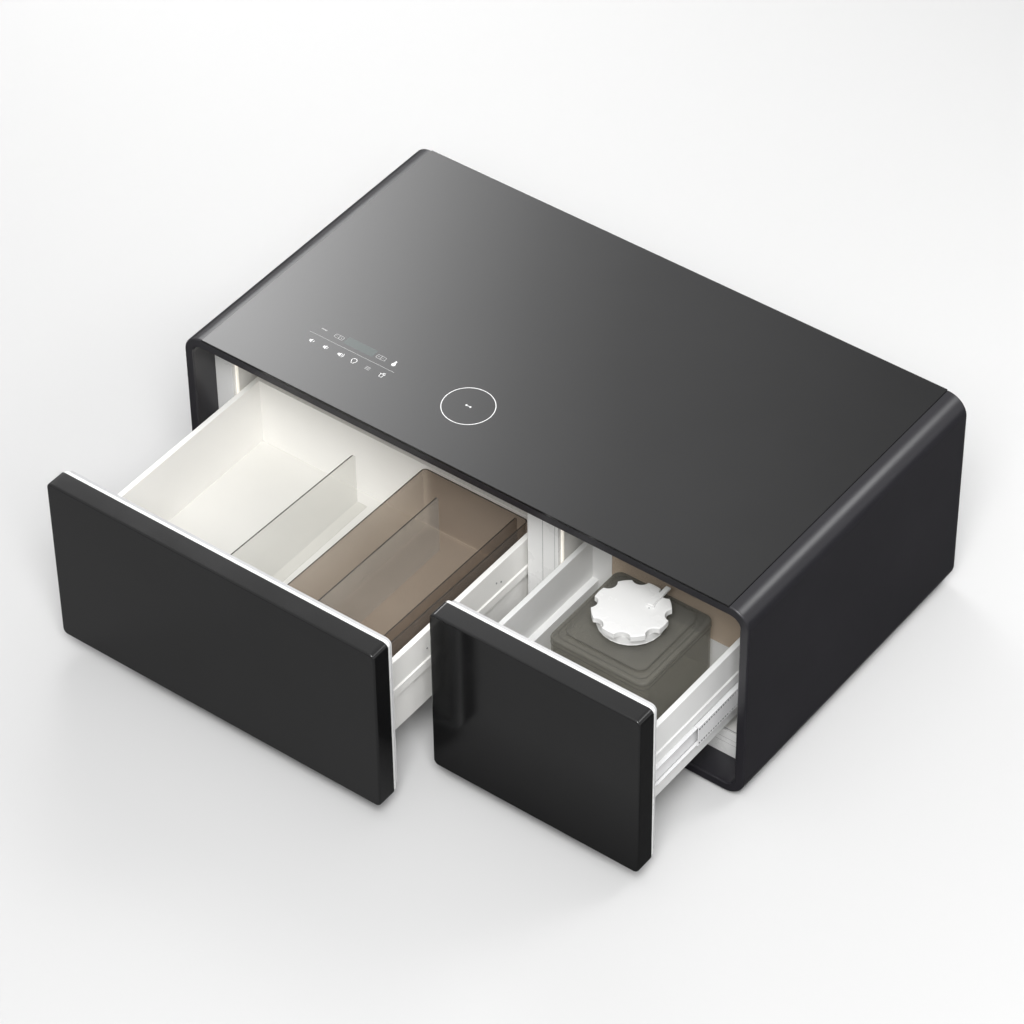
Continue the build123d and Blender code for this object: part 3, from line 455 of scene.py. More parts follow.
def sheet(name, tint, deep, roughness, milk=0.05, edge=0.4, rim=None, cloud=9.0):
    """Moulded clear plastic. Light goes straight through with a tint that drifts between two tones
    and deepens towards grazing angles, partly as the longer path through the sheet and partly as
    painted shade towards a near-black edge tone. The Fresnel share and a little milkiness show its
    surface. The light isn't bent, so a face seen from inside gets the same share as one seen from
    outside. Above the height rim, faces that point up are darker: painted shade on the sheet's
    thin edges, in place of the light that a real edge bends away. A shadow ray gets half of the
    tint and nothing of the surface."""
    made, tree, main = blank(name)
    place = object_place(tree)
    tone = blend(tree, noise(tree, place, cloud, 3.0), (*tint, 1), (*deep, 1))
    # Painted shade, in part: at grazing angles, where the path through the sheet is also longer, and on
    # upward faces above the rim height, the tint goes towards a near-black edge tone.
    facing = node(tree, "ShaderNodeLayerWeight", Blend=0.1).outputs["Facing"]
    edge_shade = maths(tree, "MULTIPLY", facing, edge, clamp=True)
    if rim is not None:
        edge_shade = maths(tree, "MAXIMUM", edge_shade, upward_face(tree, place, rim))
    seen = blend(tree, edge_shade, tone, SHEET_EDGE_SHADE)
    shadow = node(tree, "ShaderNodeLightPath").outputs["Is Shadow Ray"]
    passed = blend(tree, maths(tree, "MULTIPLY", shadow, SHADOW_LIFT), seen, UNTINTED)
    through = node(tree, "ShaderNodeBsdfTransparent", Color=passed)
    texture = group_node(tree, "Fine grain", Scale=60.0, Depth=0.05, Roughness=roughness, Variation=0.04)
    surface_of(tree, main, tone, texture)
    inside = node(tree, "ShaderNodeNewGeometry").outputs["Backfacing"]
    index = ramped(tree, inside, 0.0, 1.0, To_Min=CLEAR_INDEX, To_Max=1 / CLEAR_INDEX)
    fresnel = node(tree, "ShaderNodeFresnel", IOR=index, Normal=texture.outputs["Normal"])
    share = maths(tree, "ADD", fresnel.outputs[0], milk, clamp=True)
    share = maths(tree, "SUBTRACT", share, shadow, clamp=True)
    both = node(tree, "ShaderNodeMixShader", Fac=share, i1=through.outputs[0], i2=main.outputs[0])
    output_of(tree, both.outputs[0])
    return made


def lit(name, tone, strength, base=(0.8, 0.78, 0.74)):
    """A diffuser or print that glows a little, brighter in its cloudier parts."""
    made, tree, main = blank(name)
    power = maths(tree, "MULTIPLY_ADD", noise(tree, object_place(tree), 120.0, 2.0), strength * 0.3,
                  strength * 0.85)
    texture = group_node(tree, "Fine grain", Scale=400.0, Depth=0.05, Roughness=0.45, Variation=0.1)
    tree.links.new(power, main.inputs["Emission Strength"])
    tree.links.new(texture.outputs["Roughness"], main.inputs["Roughness"])
    tree.links.new(texture.outputs["Normal"], main.inputs["Normal"])
    main.inputs["Base Color"].default_value = (*base, 1)
    main.inputs["Emission Color"].default_value = (*tone, 1)
    return made


# Heights in metres: clear sheets get painted shade on upward edges over the first, and drawer box floors,
# which get painted shade, lie under the second
EDGE_SHADE_HEIGHT = 0.25
BOX_FLOOR = 0.16

RECIPES = {
    "lacquer": lambda: coated("Black lacquer", (0.014, 0.0135, 0.0165), (0.019, 0.018, 0.022), 0.3,
                              grain=1400.0, depth=0.05, wear=0.2),
    "glass": lambda: coated("Black glass", (0.005, 0.005, 0.0055), (0.007, 0.007, 0.0075), 0.13,
                            grain=300.0, depth=0.01, variation=0.03, wear=0.05),
    "front": lambda: coated("Graphite front", (0.005, 0.005, 0.0052), (0.007, 0.007, 0.0073), 0.13,
                            grain=1100.0, depth=0.04, wear=0.1, specular=0.45),
    "white gloss": lambda: coated("White gloss plastic", (0.83, 0.83, 0.82), (0.87, 0.87, 0.86), 0.28,
                                  grain=500.0, depth=0.04, wear=0.1),
    # The two drawer boxes share one white plastic: the right box's copy is darker than the left box's as
    # painted shade, and their warm and cool tints are read off.
    "warm white": lambda: coated("Warm white drawer plastic", (0.87, 0.86, 0.83), (0.9, 0.89, 0.86), 0.3,
                                 grain=500.0, depth=0.04, wear=0.1, shaded_below=BOX_FLOOR),
    "cool white shaded copy": lambda: coated("Cool white drawer plastic, darker as painted shade", (0.75, 0.75, 0.74), (0.79, 0.79, 0.78), 0.3,
                                 grain=500.0, depth=0.04, wear=0.1, shaded_below=BOX_FLOOR),
    "white satin": lambda: coated("White satin plastic", (0.82, 0.81, 0.78), (0.87, 0.86, 0.83), 0.5,
                                  grain=700.0, depth=0.06, wear=0.1),
    "clear": lambda: sheet("Clear plastic", (0.97, 0.97, 0.96), (0.95, 0.95, 0.94), 0.05, milk=0.01,
                           rim=EDGE_SHADE_HEIGHT),
    "smoke": lambda: sheet("Brown tinted plastic", (0.75, 0.7, 0.65), (0.7, 0.65, 0.6), 0.08, milk=0.02,
                           rim=EDGE_SHADE_HEIGHT),
    "guard": lambda: sheet("Brown tinted guard", (0.88, 0.82, 0.75), (0.84, 0.78, 0.71), 0.1, milk=0.08),
    "tank": lambda: sheet("Grey tinted plastic", (0.74, 0.73, 0.69), (0.67, 0.66, 0.62), 0.12,
                          milk=0.065, edge=0.7, cloud=5.0),
    # The beads are the tank's plastic, tinted darker as painted shade along its moulded edges.
    "tank bead shaded copy": lambda: sheet("Grey tinted edge, darker as painted shade", (0.5, 0.49, 0.45), (0.42, 0.41, 0.38), 0.15,
                               milk=0.12, cloud=5.0),
    "gasket": lambda: coated("Gasket rubber", (0.5, 0.5, 0.51), (0.58, 0.58, 0.58), 0.6, wear=0.2),
    "rubber": lambda: coated("Black rubber", (0.012, 0.012, 0.012), (0.03, 0.03, 0.03), 0.75,
                             grain=500.0, depth=0.2, wear=0.3),
    "steel": lambda: rolled("Zinc plated steel", (0.62, 0.63, 0.65), (0.78, 0.78, 0.79), 0.28),
    "runner": lambda: coated("White zinc steel", (0.7, 0.7, 0.71), (0.78, 0.78, 0.78), 0.32,
                             grain=500.0, depth=0.06, wear=0.2),
    "aluminium": lambda: rolled("Mill aluminium", (0.7, 0.71, 0.73), (0.82, 0.82, 0.83), 0.32),
    "copper": lambda: rolled("Copper tube", (0.7, 0.32, 0.18), (0.82, 0.45, 0.28), 0.25),
    "dark steel": lambda: coated("Powder coated steel", (0.014, 0.014, 0.016), (0.024, 0.024, 0.026),
                                 0.55, grain=700.0, depth=0.35, wear=0.3),
    "black plastic": lambda: coated("Black plastic", (0.012, 0.012, 0.013), (0.02, 0.02, 0.021), 0.5,
                                    grain=800.0, depth=0.2, wear=0.3),
    "board": lambda: coated("Circuit board", (0.01, 0.09, 0.03), (0.02, 0.14, 0.05), 0.35,
                            grain=300.0, depth=0.1),
    "foam": lambda: coated("Insulation foam", (0.72, 0.62, 0.38), (0.84, 0.76, 0.52), 0.9,
                           grain=260.0, depth=0.9, cloud=30.0),
    "light": lambda: lit("Light diffuser", (1.0, 0.93, 0.8), 0.5),
    "print": lambda: lit("White print", (1.0, 1.0, 1.0), 0.25, (0.75, 0.75, 0.75)),
    "print dim": lambda: lit("Grey print", (1.0, 1.0, 1.0), 0.1, (0.3, 0.3, 0.3)),
    "screw": lambda: rolled("Nickel screw", (0.3, 0.3, 0.31), (0.42, 0.42, 0.43), 0.3),
    "ball": lambda: rolled("Bearing steel", (0.7, 0.71, 0.73), (0.85, 0.85, 0.87), 0.15),
    # Dark grey for painted shade: in the face frame's joints and in the cap's pin hole.
    "painted shade": lambda: coated("Painted joint and hole shade", (0.3, 0.3, 0.3), (0.38, 0.38, 0.38), 0.6, wear=0.1),
    "window": lambda: coated("Display window", (0.02, 0.035, 0.032), (0.028, 0.045, 0.042), 0.2,
                             grain=200.0, depth=0.01, wear=0.0),
}
MATERIALS = {}


def material(name):
    """One of the table's materials, which is built on first use."""
    if name not in MATERIALS:
        MATERIALS[name] = RECIPES[name]()
    return MATERIALS[name]


def dress(name, *cad_nodes, drawn_in=0.0):
    """Gives CAD nodes a material and smooth shading up to a sharp angle. A clear node's surface is
    drawn in by a hair, so that it doesn't share a plane with the surface it rests on."""
    for n in cad_nodes:
        obj = nodes[n]
        obj.data.materials.clear()
        obj.data.materials.append(material(name))
        obj.data.polygons.foreach_set("use_smooth", [True] * len(obj.data.polygons))
        weld = obj.modifiers.new("Weld", "WELD")
        weld.merge_threshold = WELD
        if drawn_in:
            hair = obj.modifiers.new("Off its seat", "DISPLACE")
            hair.mid_level = 0.0
            hair.strength = -drawn_in
        split = obj.modifiers.new("Sharp edges", "EDGE_SPLIT")
        split.split_angle = math.radians(SHARP_ANGLE)
        soften = obj.modifiers.new("Even normals", "WEIGHTED_NORMAL")
        soften.keep_sharp = True


def corners_of(name):
    """Lowest and highest corner of a CAD node as numpy arrays."""
    low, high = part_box(name)
    return np.array(low), np.array(high)


# Settings


class TableFinish(bpy.types.PropertyGroup):
    """Choices that the operators read."""

    print_height: FloatProperty(
        name="Print height", description="Rise of the print over the glass", default=0.00004,
        unit="LENGTH")
    print_stroke: FloatProperty(
        name="Print stroke", description="Width of the thin lines in the print", default=0.0011,
        unit="LENGTH")
    gasket_folds: IntProperty(
        name="Gasket folds", description="Folds across a gasket's depth", default=3)
    show_lights: BoolProperty(
        name="Compartment lights", description="Let the strips in the compartments glow", default=True)


class StudioSettings(bpy.types.PropertyGroup):
    """Camera and light for the finished picture."""

    camera_place: FloatVectorProperty(
        name="Camera place", description="The camera's place in metres",
        default=(3.5544, -4.6259, 5.7416))
    camera_turn: FloatProperty(
        name="Camera turn", description="Degrees from +Y towards -X", default=37.38)
    camera_tilt: FloatProperty(
        name="Camera tilt", description="Degrees below the horizon", default=43.20)
    camera_roll: FloatProperty(
        name="Camera roll", description="Degrees about the line of sight", default=0.775)
    lens: FloatProperty(
        name="Lens", description="Focal length in mm on a 36 mm sensor", default=149.8)
    world: FloatProperty(
        name="Surroundings", description="Strength of the even light all round", default=0.8)
    world_diffuse: FloatProperty(
        name="Surroundings on matt surfaces", description="The same, as matt surfaces receive it",
        default=0.3)
    overhead: FloatProperty(
        name="Overhead light", description="Power of the overhead lamp in watts", default=62.0)
    fill: FloatProperty(
        name="Fill light", description="Power of the lamp at the camera's side in watts", default=535.0)
    side_patch: FloatProperty(
        name="Bright patch at the right", description="Strength of the patch in the lit cloth",
        default=8.0)


class TABLE_OT_case(bpy.types.Operator):
    """Cabinet shell, glass top and feet"""

    bl_idname = "table.case"
    bl_label = "Case"

    def execute(self, context):
        dress("lacquer", "cabinet_shell")
        dress("glass", "glass_top")
        dress("rubber", "levelling_feet")
        dress("board", "touch_board")
        dress("black plastic", "display_module", "wireless_charger")
        return {"FINISHED"}


# Print, in mm. A spot is a place from the middle of the glass's front edge.
PRINT_DEPTH = 0.1 * MM
SMALL_HORN = [(-2, -2.4), (0, -2.4), (3.4, -5), (3.4, 5), (0, 2.4), (-2, 2.4)]
HORN = [(-3, -2.6), (0, -2.6), (3.6, -5.4), (3.6, 5.4), (0, 2.6), (-3, 2.6)]
FILLED = (
    ((-438.5, 122.0), SMALL_HORN),
    ((-405.0, 122.5), HORN),
    ((-370.0, 122.5), HORN),
    ((-269.0, 158.5), arc(0, 0, 4.2, 0, 360, 19)[:-1]),
    ((-269.0, 158.5), [(-2.4, 3.2), (2.4, 3.2), (1.6, 10.5), (-1.6, 10.5)]),
    ((-89.5, 149.0), arc(0, 0, 2.1, 0, 360, 15)[:-1]),
    ((-80.5, 149.0), arc(0, 0, 2.1, 0, 360, 15)[:-1]),
)

# Bright lines: spot, line, and width in strokes
NEAR_WAVE = arc(0, 0, 4.0, -50, 50, 9)
FAR_WAVE = arc(0, 0, 7.0, -50, 50, 9)
BRIGHT_LINES = (
    ((-434.0, 122.0), [(2, -2.5), (3.2, 0), (2, 2.5)], 1.0),
    ((-402.0, 122.5), NEAR_WAVE, 0.9),
    ((-367.0, 122.5), NEAR_WAVE, 0.9),
    ((-367.0, 122.5), FAR_WAVE, 0.9),
    ((-335.5, 124.5), arc(0, 0, 5.4, -50, 230, 20), 1.1),
    ((-335.5, 124.5), [(-3.4, -4.2), (-2.2, -8), (2.2, -8), (3.4, -4.2)], 1.0),
    ((-268.5, 121.5), [(-6, 4), (6, 4)], 1.0),
    ((-268.5, 121.5), [(-4, 4), (-3, -5), (3, -5), (4, 4)], 1.0),
    ((-268.5, 121.5), [(0, 4), (0, 7.5), (5, 7.5)], 1.0),
)
DIM_LINES = (
    ((-302.0, 118.6), [(-5.5, 0), (5.5, 0)], 1.2),
    ((-302.0, 122.0), [(-5.5, 0), (5.5, 0)], 1.2),
    ((-302.0, 125.4), [(-5.5, 0), (5.5, 0)], 1.2),
)

# A key of the print: its spots, its outline, and the lines in it as in the tables above
KEY_SPOTS = ((-400.0, 160.5), (-299.5, 160.5))
KEY_OUTLINE = rounded_outline(20.0, 9.5, 2.5, 4)[0]
KEY_FRAME_WIDTH = 1.1
KEY_LINES = (
    ([(0, -4.5), (0, 4.5)], 1.4),
    ([(-7, 0), (-3.5, 0)], 1.0),
    ([(3.5, 0), (7, 0)], 1.0),
)

# Lines with a width of their own, in metres
RING_SPOT = (-85.0, 149.0)
RING = arc(0, 0, 51.2, 0, 360, 97)[:-1]
RING_WIDTH = 0.0015
RING_BAR = [(-4.5, 0), (4.5, 0)]
RING_BAR_WIDTH = 0.0012
RULE_SPOT = (0.0, 141.5)
RULE = [(-456, 0), (-254, 0)]
RULE_WIDTH = 0.0011
LABEL_SPOT = (-436.0, 161.0)
LABEL = [(-6.5, 0), (6.5, 0)]
LABEL_WIDTH = 0.003

WINDOW_SPOT = (-350.0, 162.0)
WINDOW = rounded_outline(69.0, 21.0, 1.5, 3)[0]
WINDOW_DROP = 0.00002


class TABLE_OT_print(bpy.types.Operator):
    """White print on the glass: touch keys, display window and charging ring"""

    bl_idname = "table.print"
    bl_label = "Print"

    def execute(self, context):
        finish = context.scene.table_finish
        low, high = corners_of("glass_top")
        bottom, top = high[2] - PRINT_DEPTH, high[2] + finish.print_height
        stroke = finish.print_stroke

        def placed(spot, points):
            return np.asarray(points, float) * MM + (spot[0] * MM, low[1] + spot[1] * MM)

        def line(spot, points, width, closed=False):
            return ribbon(placed(spot, points), width, bottom, top, closed)

        bright = [blot(placed(spot, outline), bottom, top) for spot, outline in FILLED]
        bright += [line(spot, points, stroke * width) for spot, points, width in BRIGHT_LINES]
        bright += [line(RING_SPOT, RING, RING_WIDTH, closed=True),
                   line(RING_SPOT, RING_BAR, RING_BAR_WIDTH)]
        dim = [line(spot, points, stroke * width) for spot, points, width in DIM_LINES]
        dim += [line(RULE_SPOT, RULE, RULE_WIDTH), line(LABEL_SPOT, LABEL, LABEL_WIDTH)]
        for spot in KEY_SPOTS:
            dim.append(line(spot, KEY_OUTLINE, stroke * KEY_FRAME_WIDTH, closed=True))
            dim += [line(spot, points, stroke * width) for points, width in KEY_LINES]
        window = blot(placed(WINDOW_SPOT, WINDOW), bottom, top - WINDOW_DROP)
        for name, surface, kind in (("print_bright", joined(bright), "print"),
                                    ("print_dim", joined(dim), "print dim"),
                                    ("print_window", window, "window")):
            new_object(name, surface, material(kind), "cabinet")
        return {"FINISHED"}


class TABLE_OT_frame(bpy.types.Operator):
    """Face frame with dark strips as painted shade in its joints, the compartments and their lights"""

    bl_idname = "table.frame"
    bl_label = "Face frame"

    def execute(self, context):
        dress("white gloss", "face_frame", "mullion_cover")
        dress("white satin", "left_compartment", "right_compartment")
        dress("light" if context.scene.table_finish.show_lights else "white satin",
              "left_light_bar", "right_light_bar")
        dress("foam", "insulation", "left_front_core", "right_front_core")
        low, high = corners_of("face_frame")
        cover_low, cover_high = corners_of("mullion_cover")
        # Painted shade: thin dark strips just in front of the frame, at the edges of the mullion's cover and
        # along the sill, where the joints lie.
        front, back = low[1] - JOINT_SHADE_RISE, low[1] + JOINT_SHADE_WIDTH
        half = JOINT_SHADE_WIDTH / 2
        joint_shades = [slab((x - half, front, cover_low[2]), (x + half, back, cover_high[2]), JOINT_SHADE_RISE / 2)
                 for x in (cover_low[0], cover_high[0])]
        for z in low[2] + np.array(SILL_JOINT_SHADES):
            joint_shades.append(slab((low[0] + SILL_END, front, z - half), (high[0] - SILL_END, back, z + half),
                              JOINT_SHADE_RISE / 2))
        new_object("frame_joint_shades", joined(joint_shades), material("painted shade"), "cabinet")
        return {"FINISHED"}


class TABLE_OT_fronts(bpy.types.Operator):
    """Drawer fronts with their inner liners and gaskets"""

    bl_idname = "table.fronts"
    bl_label = "Drawer fronts"

    def execute(self, context):
        dress("front", "left_front", "right_front")
        dress("white gloss", "left_front_liner", "right_front_liner")
        for side in ("left", "right"):
            bellows = self.bellows(f"{side}_gasket", context.scene.table_finish.gasket_folds)
            made = new_object(f"{side}_gasket_bellows", bellows, material("gasket"), f"{side}_drawer",
                              sharp=GASKET_SHARP)
            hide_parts(f"{side}_gasket")
        return {"FINISHED"}

    def bellows(self, name, folds):
        """A folded ring in a gasket's place. Both sides of its section zigzag through the depth,
        half the width off the middle line on the crests, and less by the pinch in the valleys."""
        low, high = corners_of(name)
        width, depth, height = high - low
        outline, normals = rounded_outline(width - GASKET_WIDTH, height - GASKET_WIDTH, GASKET_CORNER, 4)
        k = np.arange(2 * folds + 1)
        side = np.stack([GASKET_WIDTH / 2 - GASKET_PINCH * (k % 2), depth * (k / (2 * folds) - 0.5)], 1)
        profile = np.concatenate([side, side[::-1] * (-1, 1)])
        return grid(swept(outline, normals, profile, (low + high) / 2, "xz"), close_rows=True)


class TABLE_OT_boxes(bpy.types.Operator):
    """Drawer boxes and the screws on the left one's belts"""

    bl_idname = "table.boxes"
    bl_label = "Drawer boxes"

    def execute(self, context):
        dress("warm white", "left_drawer_box")
        dress("cool white shaded copy", "right_drawer_box")
        low, high = corners_of("left_drawer_box")
        heads = []
        for wall, out in ((low[0], -1), (high[0], 1)):
            for y in (high[1] - SCREW_FROM_END, low[1] + SCREW_FROM_END):
                for step in (-1, 1):
                    centre = (wall, y + step * SCREW_PITCH / 2, high[2] - SCREW_DROP - step * SCREW_STAGGER)
                    heads.append(domed_head(centre, SCREW_RADIUS, SCREW_RISE, out))
        new_object("left_box_screws", joined(heads), material("screw"), "left_drawer")
        return {"FINISHED"}


class TABLE_OT_runners(bpy.types.Operator):
    """Drawer runners, with the right ones' teeth and ball rows"""

    bl_idname = "table.runners"
    bl_label = "Runners"

    def execute(self, context):
        dress("runner", *[f"{side}_{part}_runners" for side in ("left", "right")
                          for part in ("drawer", "middle", "cabinet")])
        self.teeth()
        self.balls()
        return {"FINISHED"}

    def teeth(self):
        """A fine toothed strip along the lower edge of each drawer member's web, in the channel."""
        low, high = corners_of("right_drawer_runners")
        count = int((high[1] - low[1]) / TOOTH_PITCH) - 1
        foot = low[2] + RUNNER_SHEET
        bars = []
        for wall, out in ((low[0] + CHANNEL_DEPTH, -1), (high[0] - CHANNEL_DEPTH, 1)):
            left, right = sorted((wall, wall + out * TOOTH_RISE))
            for y in low[1] + (np.arange(count) + TOOTH_START) * TOOTH_PITCH:
                bars.append(slab((left, y, foot), (right, y + TOOTH_PITCH / 2, foot + TOOTH_HEIGHT),
                                 TOOTH_RISE / 4))
        new_object("right_runner_teeth", joined(bars), material("screw"), "right_drawer")

    def balls(self):
        """Two rows of balls that show in the outer face of each middle member."""
        low, high = corners_of("right_middle_runners")
        count = int((high[1] - low[1]) / BALL_PITCH)
        heads = []
        for wall, out in ((low[0], -1), (high[0], 1)):
            for z in (low[2] + BALL_INSET, high[2] - BALL_INSET):
                for y in low[1] + (np.arange(count) + 0.5) * BALL_PITCH:
                    heads.append(domed_head((wall, y, z), BALL_RADIUS, BALL_RISE, out))
        new_object("right_runner_balls", joined(heads), material("ball"), "right_middle")


class TABLE_OT_left_fittings(bpy.types.Operator):
    """Divider and tinted bin in the left drawer"""

    bl_idname = "table.left_fittings"
    bl_label = "Left drawer fittings"

    def execute(self, context):
        dress("clear", "clear_divider", "left_bin_partition", drawn_in=HAIR)
        dress("smoke", "tinted_bin", "right_bin_partition", drawn_in=HAIR)
        return {"FINISHED"}


class TABLE_OT_right_fittings(bpy.types.Operator):
    """Tank, cap, lever and guard in the right drawer"""

    bl_idname = "table.right_fittings"
    bl_label = "Right drawer fittings"

    def execute(self, context):
        dress("tank", "tank_body", drawn_in=HAIR)
        dress("rubber", "tank_seal")
        dress("guard", "rear_guard", drawn_in=HAIR)
        dress("white gloss", "tank_cap", "tank_lever")
        self.beads()
        self.cap_details()
        return {"FINISHED"}

    def beads(self):
        """Moulded beads round the tank: two under its top edge, one on the edge itself and one round
        the raised middle. Their tint is darker than the tank's, as painted shade along the beads."""
        low, high = corners_of("tank_body")
        width, depth, _ = high - low
        x, y, _ = (low + high) / 2
        rim = low[2] + TANK_HEIGHT
        rings = [bead_ring(width - 2 * inset, depth - 2 * inset, TANK_CORNER, TANK_BEAD, (x, y, rim - drop))
                 for inset, drop in ((0.0, TANK_BEAD_DROP),
                                     (0.0, TANK_BEAD_DROP + TANK_BEAD_GAP),
                                     (PLATEAU_INSET, TANK_BEAD - PLATEAU_HEIGHT),
                                     (TANK_BEAD_GAP, 0.0))]
        new_object("tank_beads", joined(rings), material("tank bead shaded copy"), "right_drawer")

    def cap_details(self):
        """The bead at the foot of the cap's skirt, and a dark disc as painted shade in the pin hole at the
        lever's root.
        """
        low, high = corners_of("tank_cap")
        x, y, _ = (low + high) / 2
        ring = bead_ring(2 * CAP_SKIRT, 2 * CAP_SKIRT, NEARLY_ROUND * CAP_SKIRT, CAP_BEAD,
                         (x, y, low[2] + CAP_BEAD))
        new_object("cap_bead", ring, material("white gloss"), "cap")
        # Painted shade: a dark disc stands in the pin hole.
        lever_low, lever_high = corners_of("tank_lever")
        middle = ((lever_low[0] + lever_high[0]) / 2, lever_low[1] - 2 * PIN_HOLE)
        outline, _ = rounded_outline(2 * PIN_HOLE, 2 * PIN_HOLE, NEARLY_ROUND * PIN_HOLE, 4)
        top = low[2] + CAP_BODY
        hole_shade = blot(outline + middle, top - PIN_HOLE_SINK, top + PIN_HOLE_RISE)
        new_object("cap_pin_hole_shade", hole_shade, material("painted shade"), "cap")


class TABLE_OT_cooling(bpy.types.Operator):
    """Cooling unit, electronics and the back of the cabinet"""

    bl_idname = "table.cooling"
    bl_label = "Cooling unit and back"

    def execute(self, context):
        dress("aluminium", "left_evaporator", "right_evaporator", "condenser")
        dress("dark steel", "compressor", "power_supply", "back_panel")
        dress("rubber", "compressor_grommets")
        dress("black plastic", "fan_housing", "fan_rotor", "power_inlet", "left_speaker", "right_speaker")
        dress("copper", "refrigerant_tube")
        dress("board", "control_board")
        dress("steel", "back_panel_screws")
        return {"FINISHED"}


# Stage, in metres. Polished surfaces see the floor in two tones, in front of a band along Y and behind it.
FLOOR_HALF_SIDE = 30.0
FLOOR_TONE = (0.64, 0.64, 0.64, 1)
FLOOR_SEEN_IN_FRONT = (0.3, 0.3, 0.3, 1)
FLOOR_SEEN_BEHIND = (0.06, 0.06, 0.06, 1)
FLOOR_BAND = (-0.62, -0.4)

# Lamps: place and side
OVERHEAD = ((0.4, -0.6, 5.0), 4.0)
FILL = ((2.9, -3.9, 6.2), 3.0)
LAMP_AIM = (0, 0, 0.3)

# Lit cloth: corners, height, the line s = x + slant * y it falls off along, and its levels on the way
CLOTH_LEFT, CLOTH_RIGHT = -3.0, 3.6
CLOTH_FRONT, CLOTH_BACK = 0.6, 3.2
CLOTH_HEIGHT = 2.4
CLOTH_SLANT = 0.57
CLOTH_RUN = (-1.4, 1.0)
CLOTH_LEVELS = ((0.0, 9.2), (0.117, 7.1), (0.229, 5.0), (0.346, 3.2), (0.458, 2.0), (0.583, 1.3),
                (0.738, 1.0), (0.958, 0.6))
CLOTH_FULL = 10.0
CLOTH_FADE = (1.0, 1.5)
PATCH_PLACE = (1.7, 1.8, CLOTH_HEIGHT)
PATCH_RADII = (0.1, 1.0)

SENSOR_WIDTH = 36.0
CLIP_END = 100.0


def staged(obj):
    """Links an object to the scene as part of the stage."""
    bpy.context.scene.collection.objects.link(obj)
    return obj


def staged_sheet(name, corners, made):
    """A flat sheet of the stage through four corners."""
    mesh = bpy.data.meshes.new(name)
    mesh.from_pydata(corners, [], [(0, 1, 2, 3)])
    mesh.materials.append(made)
    return staged(bpy.data.objects.new(name, mesh))


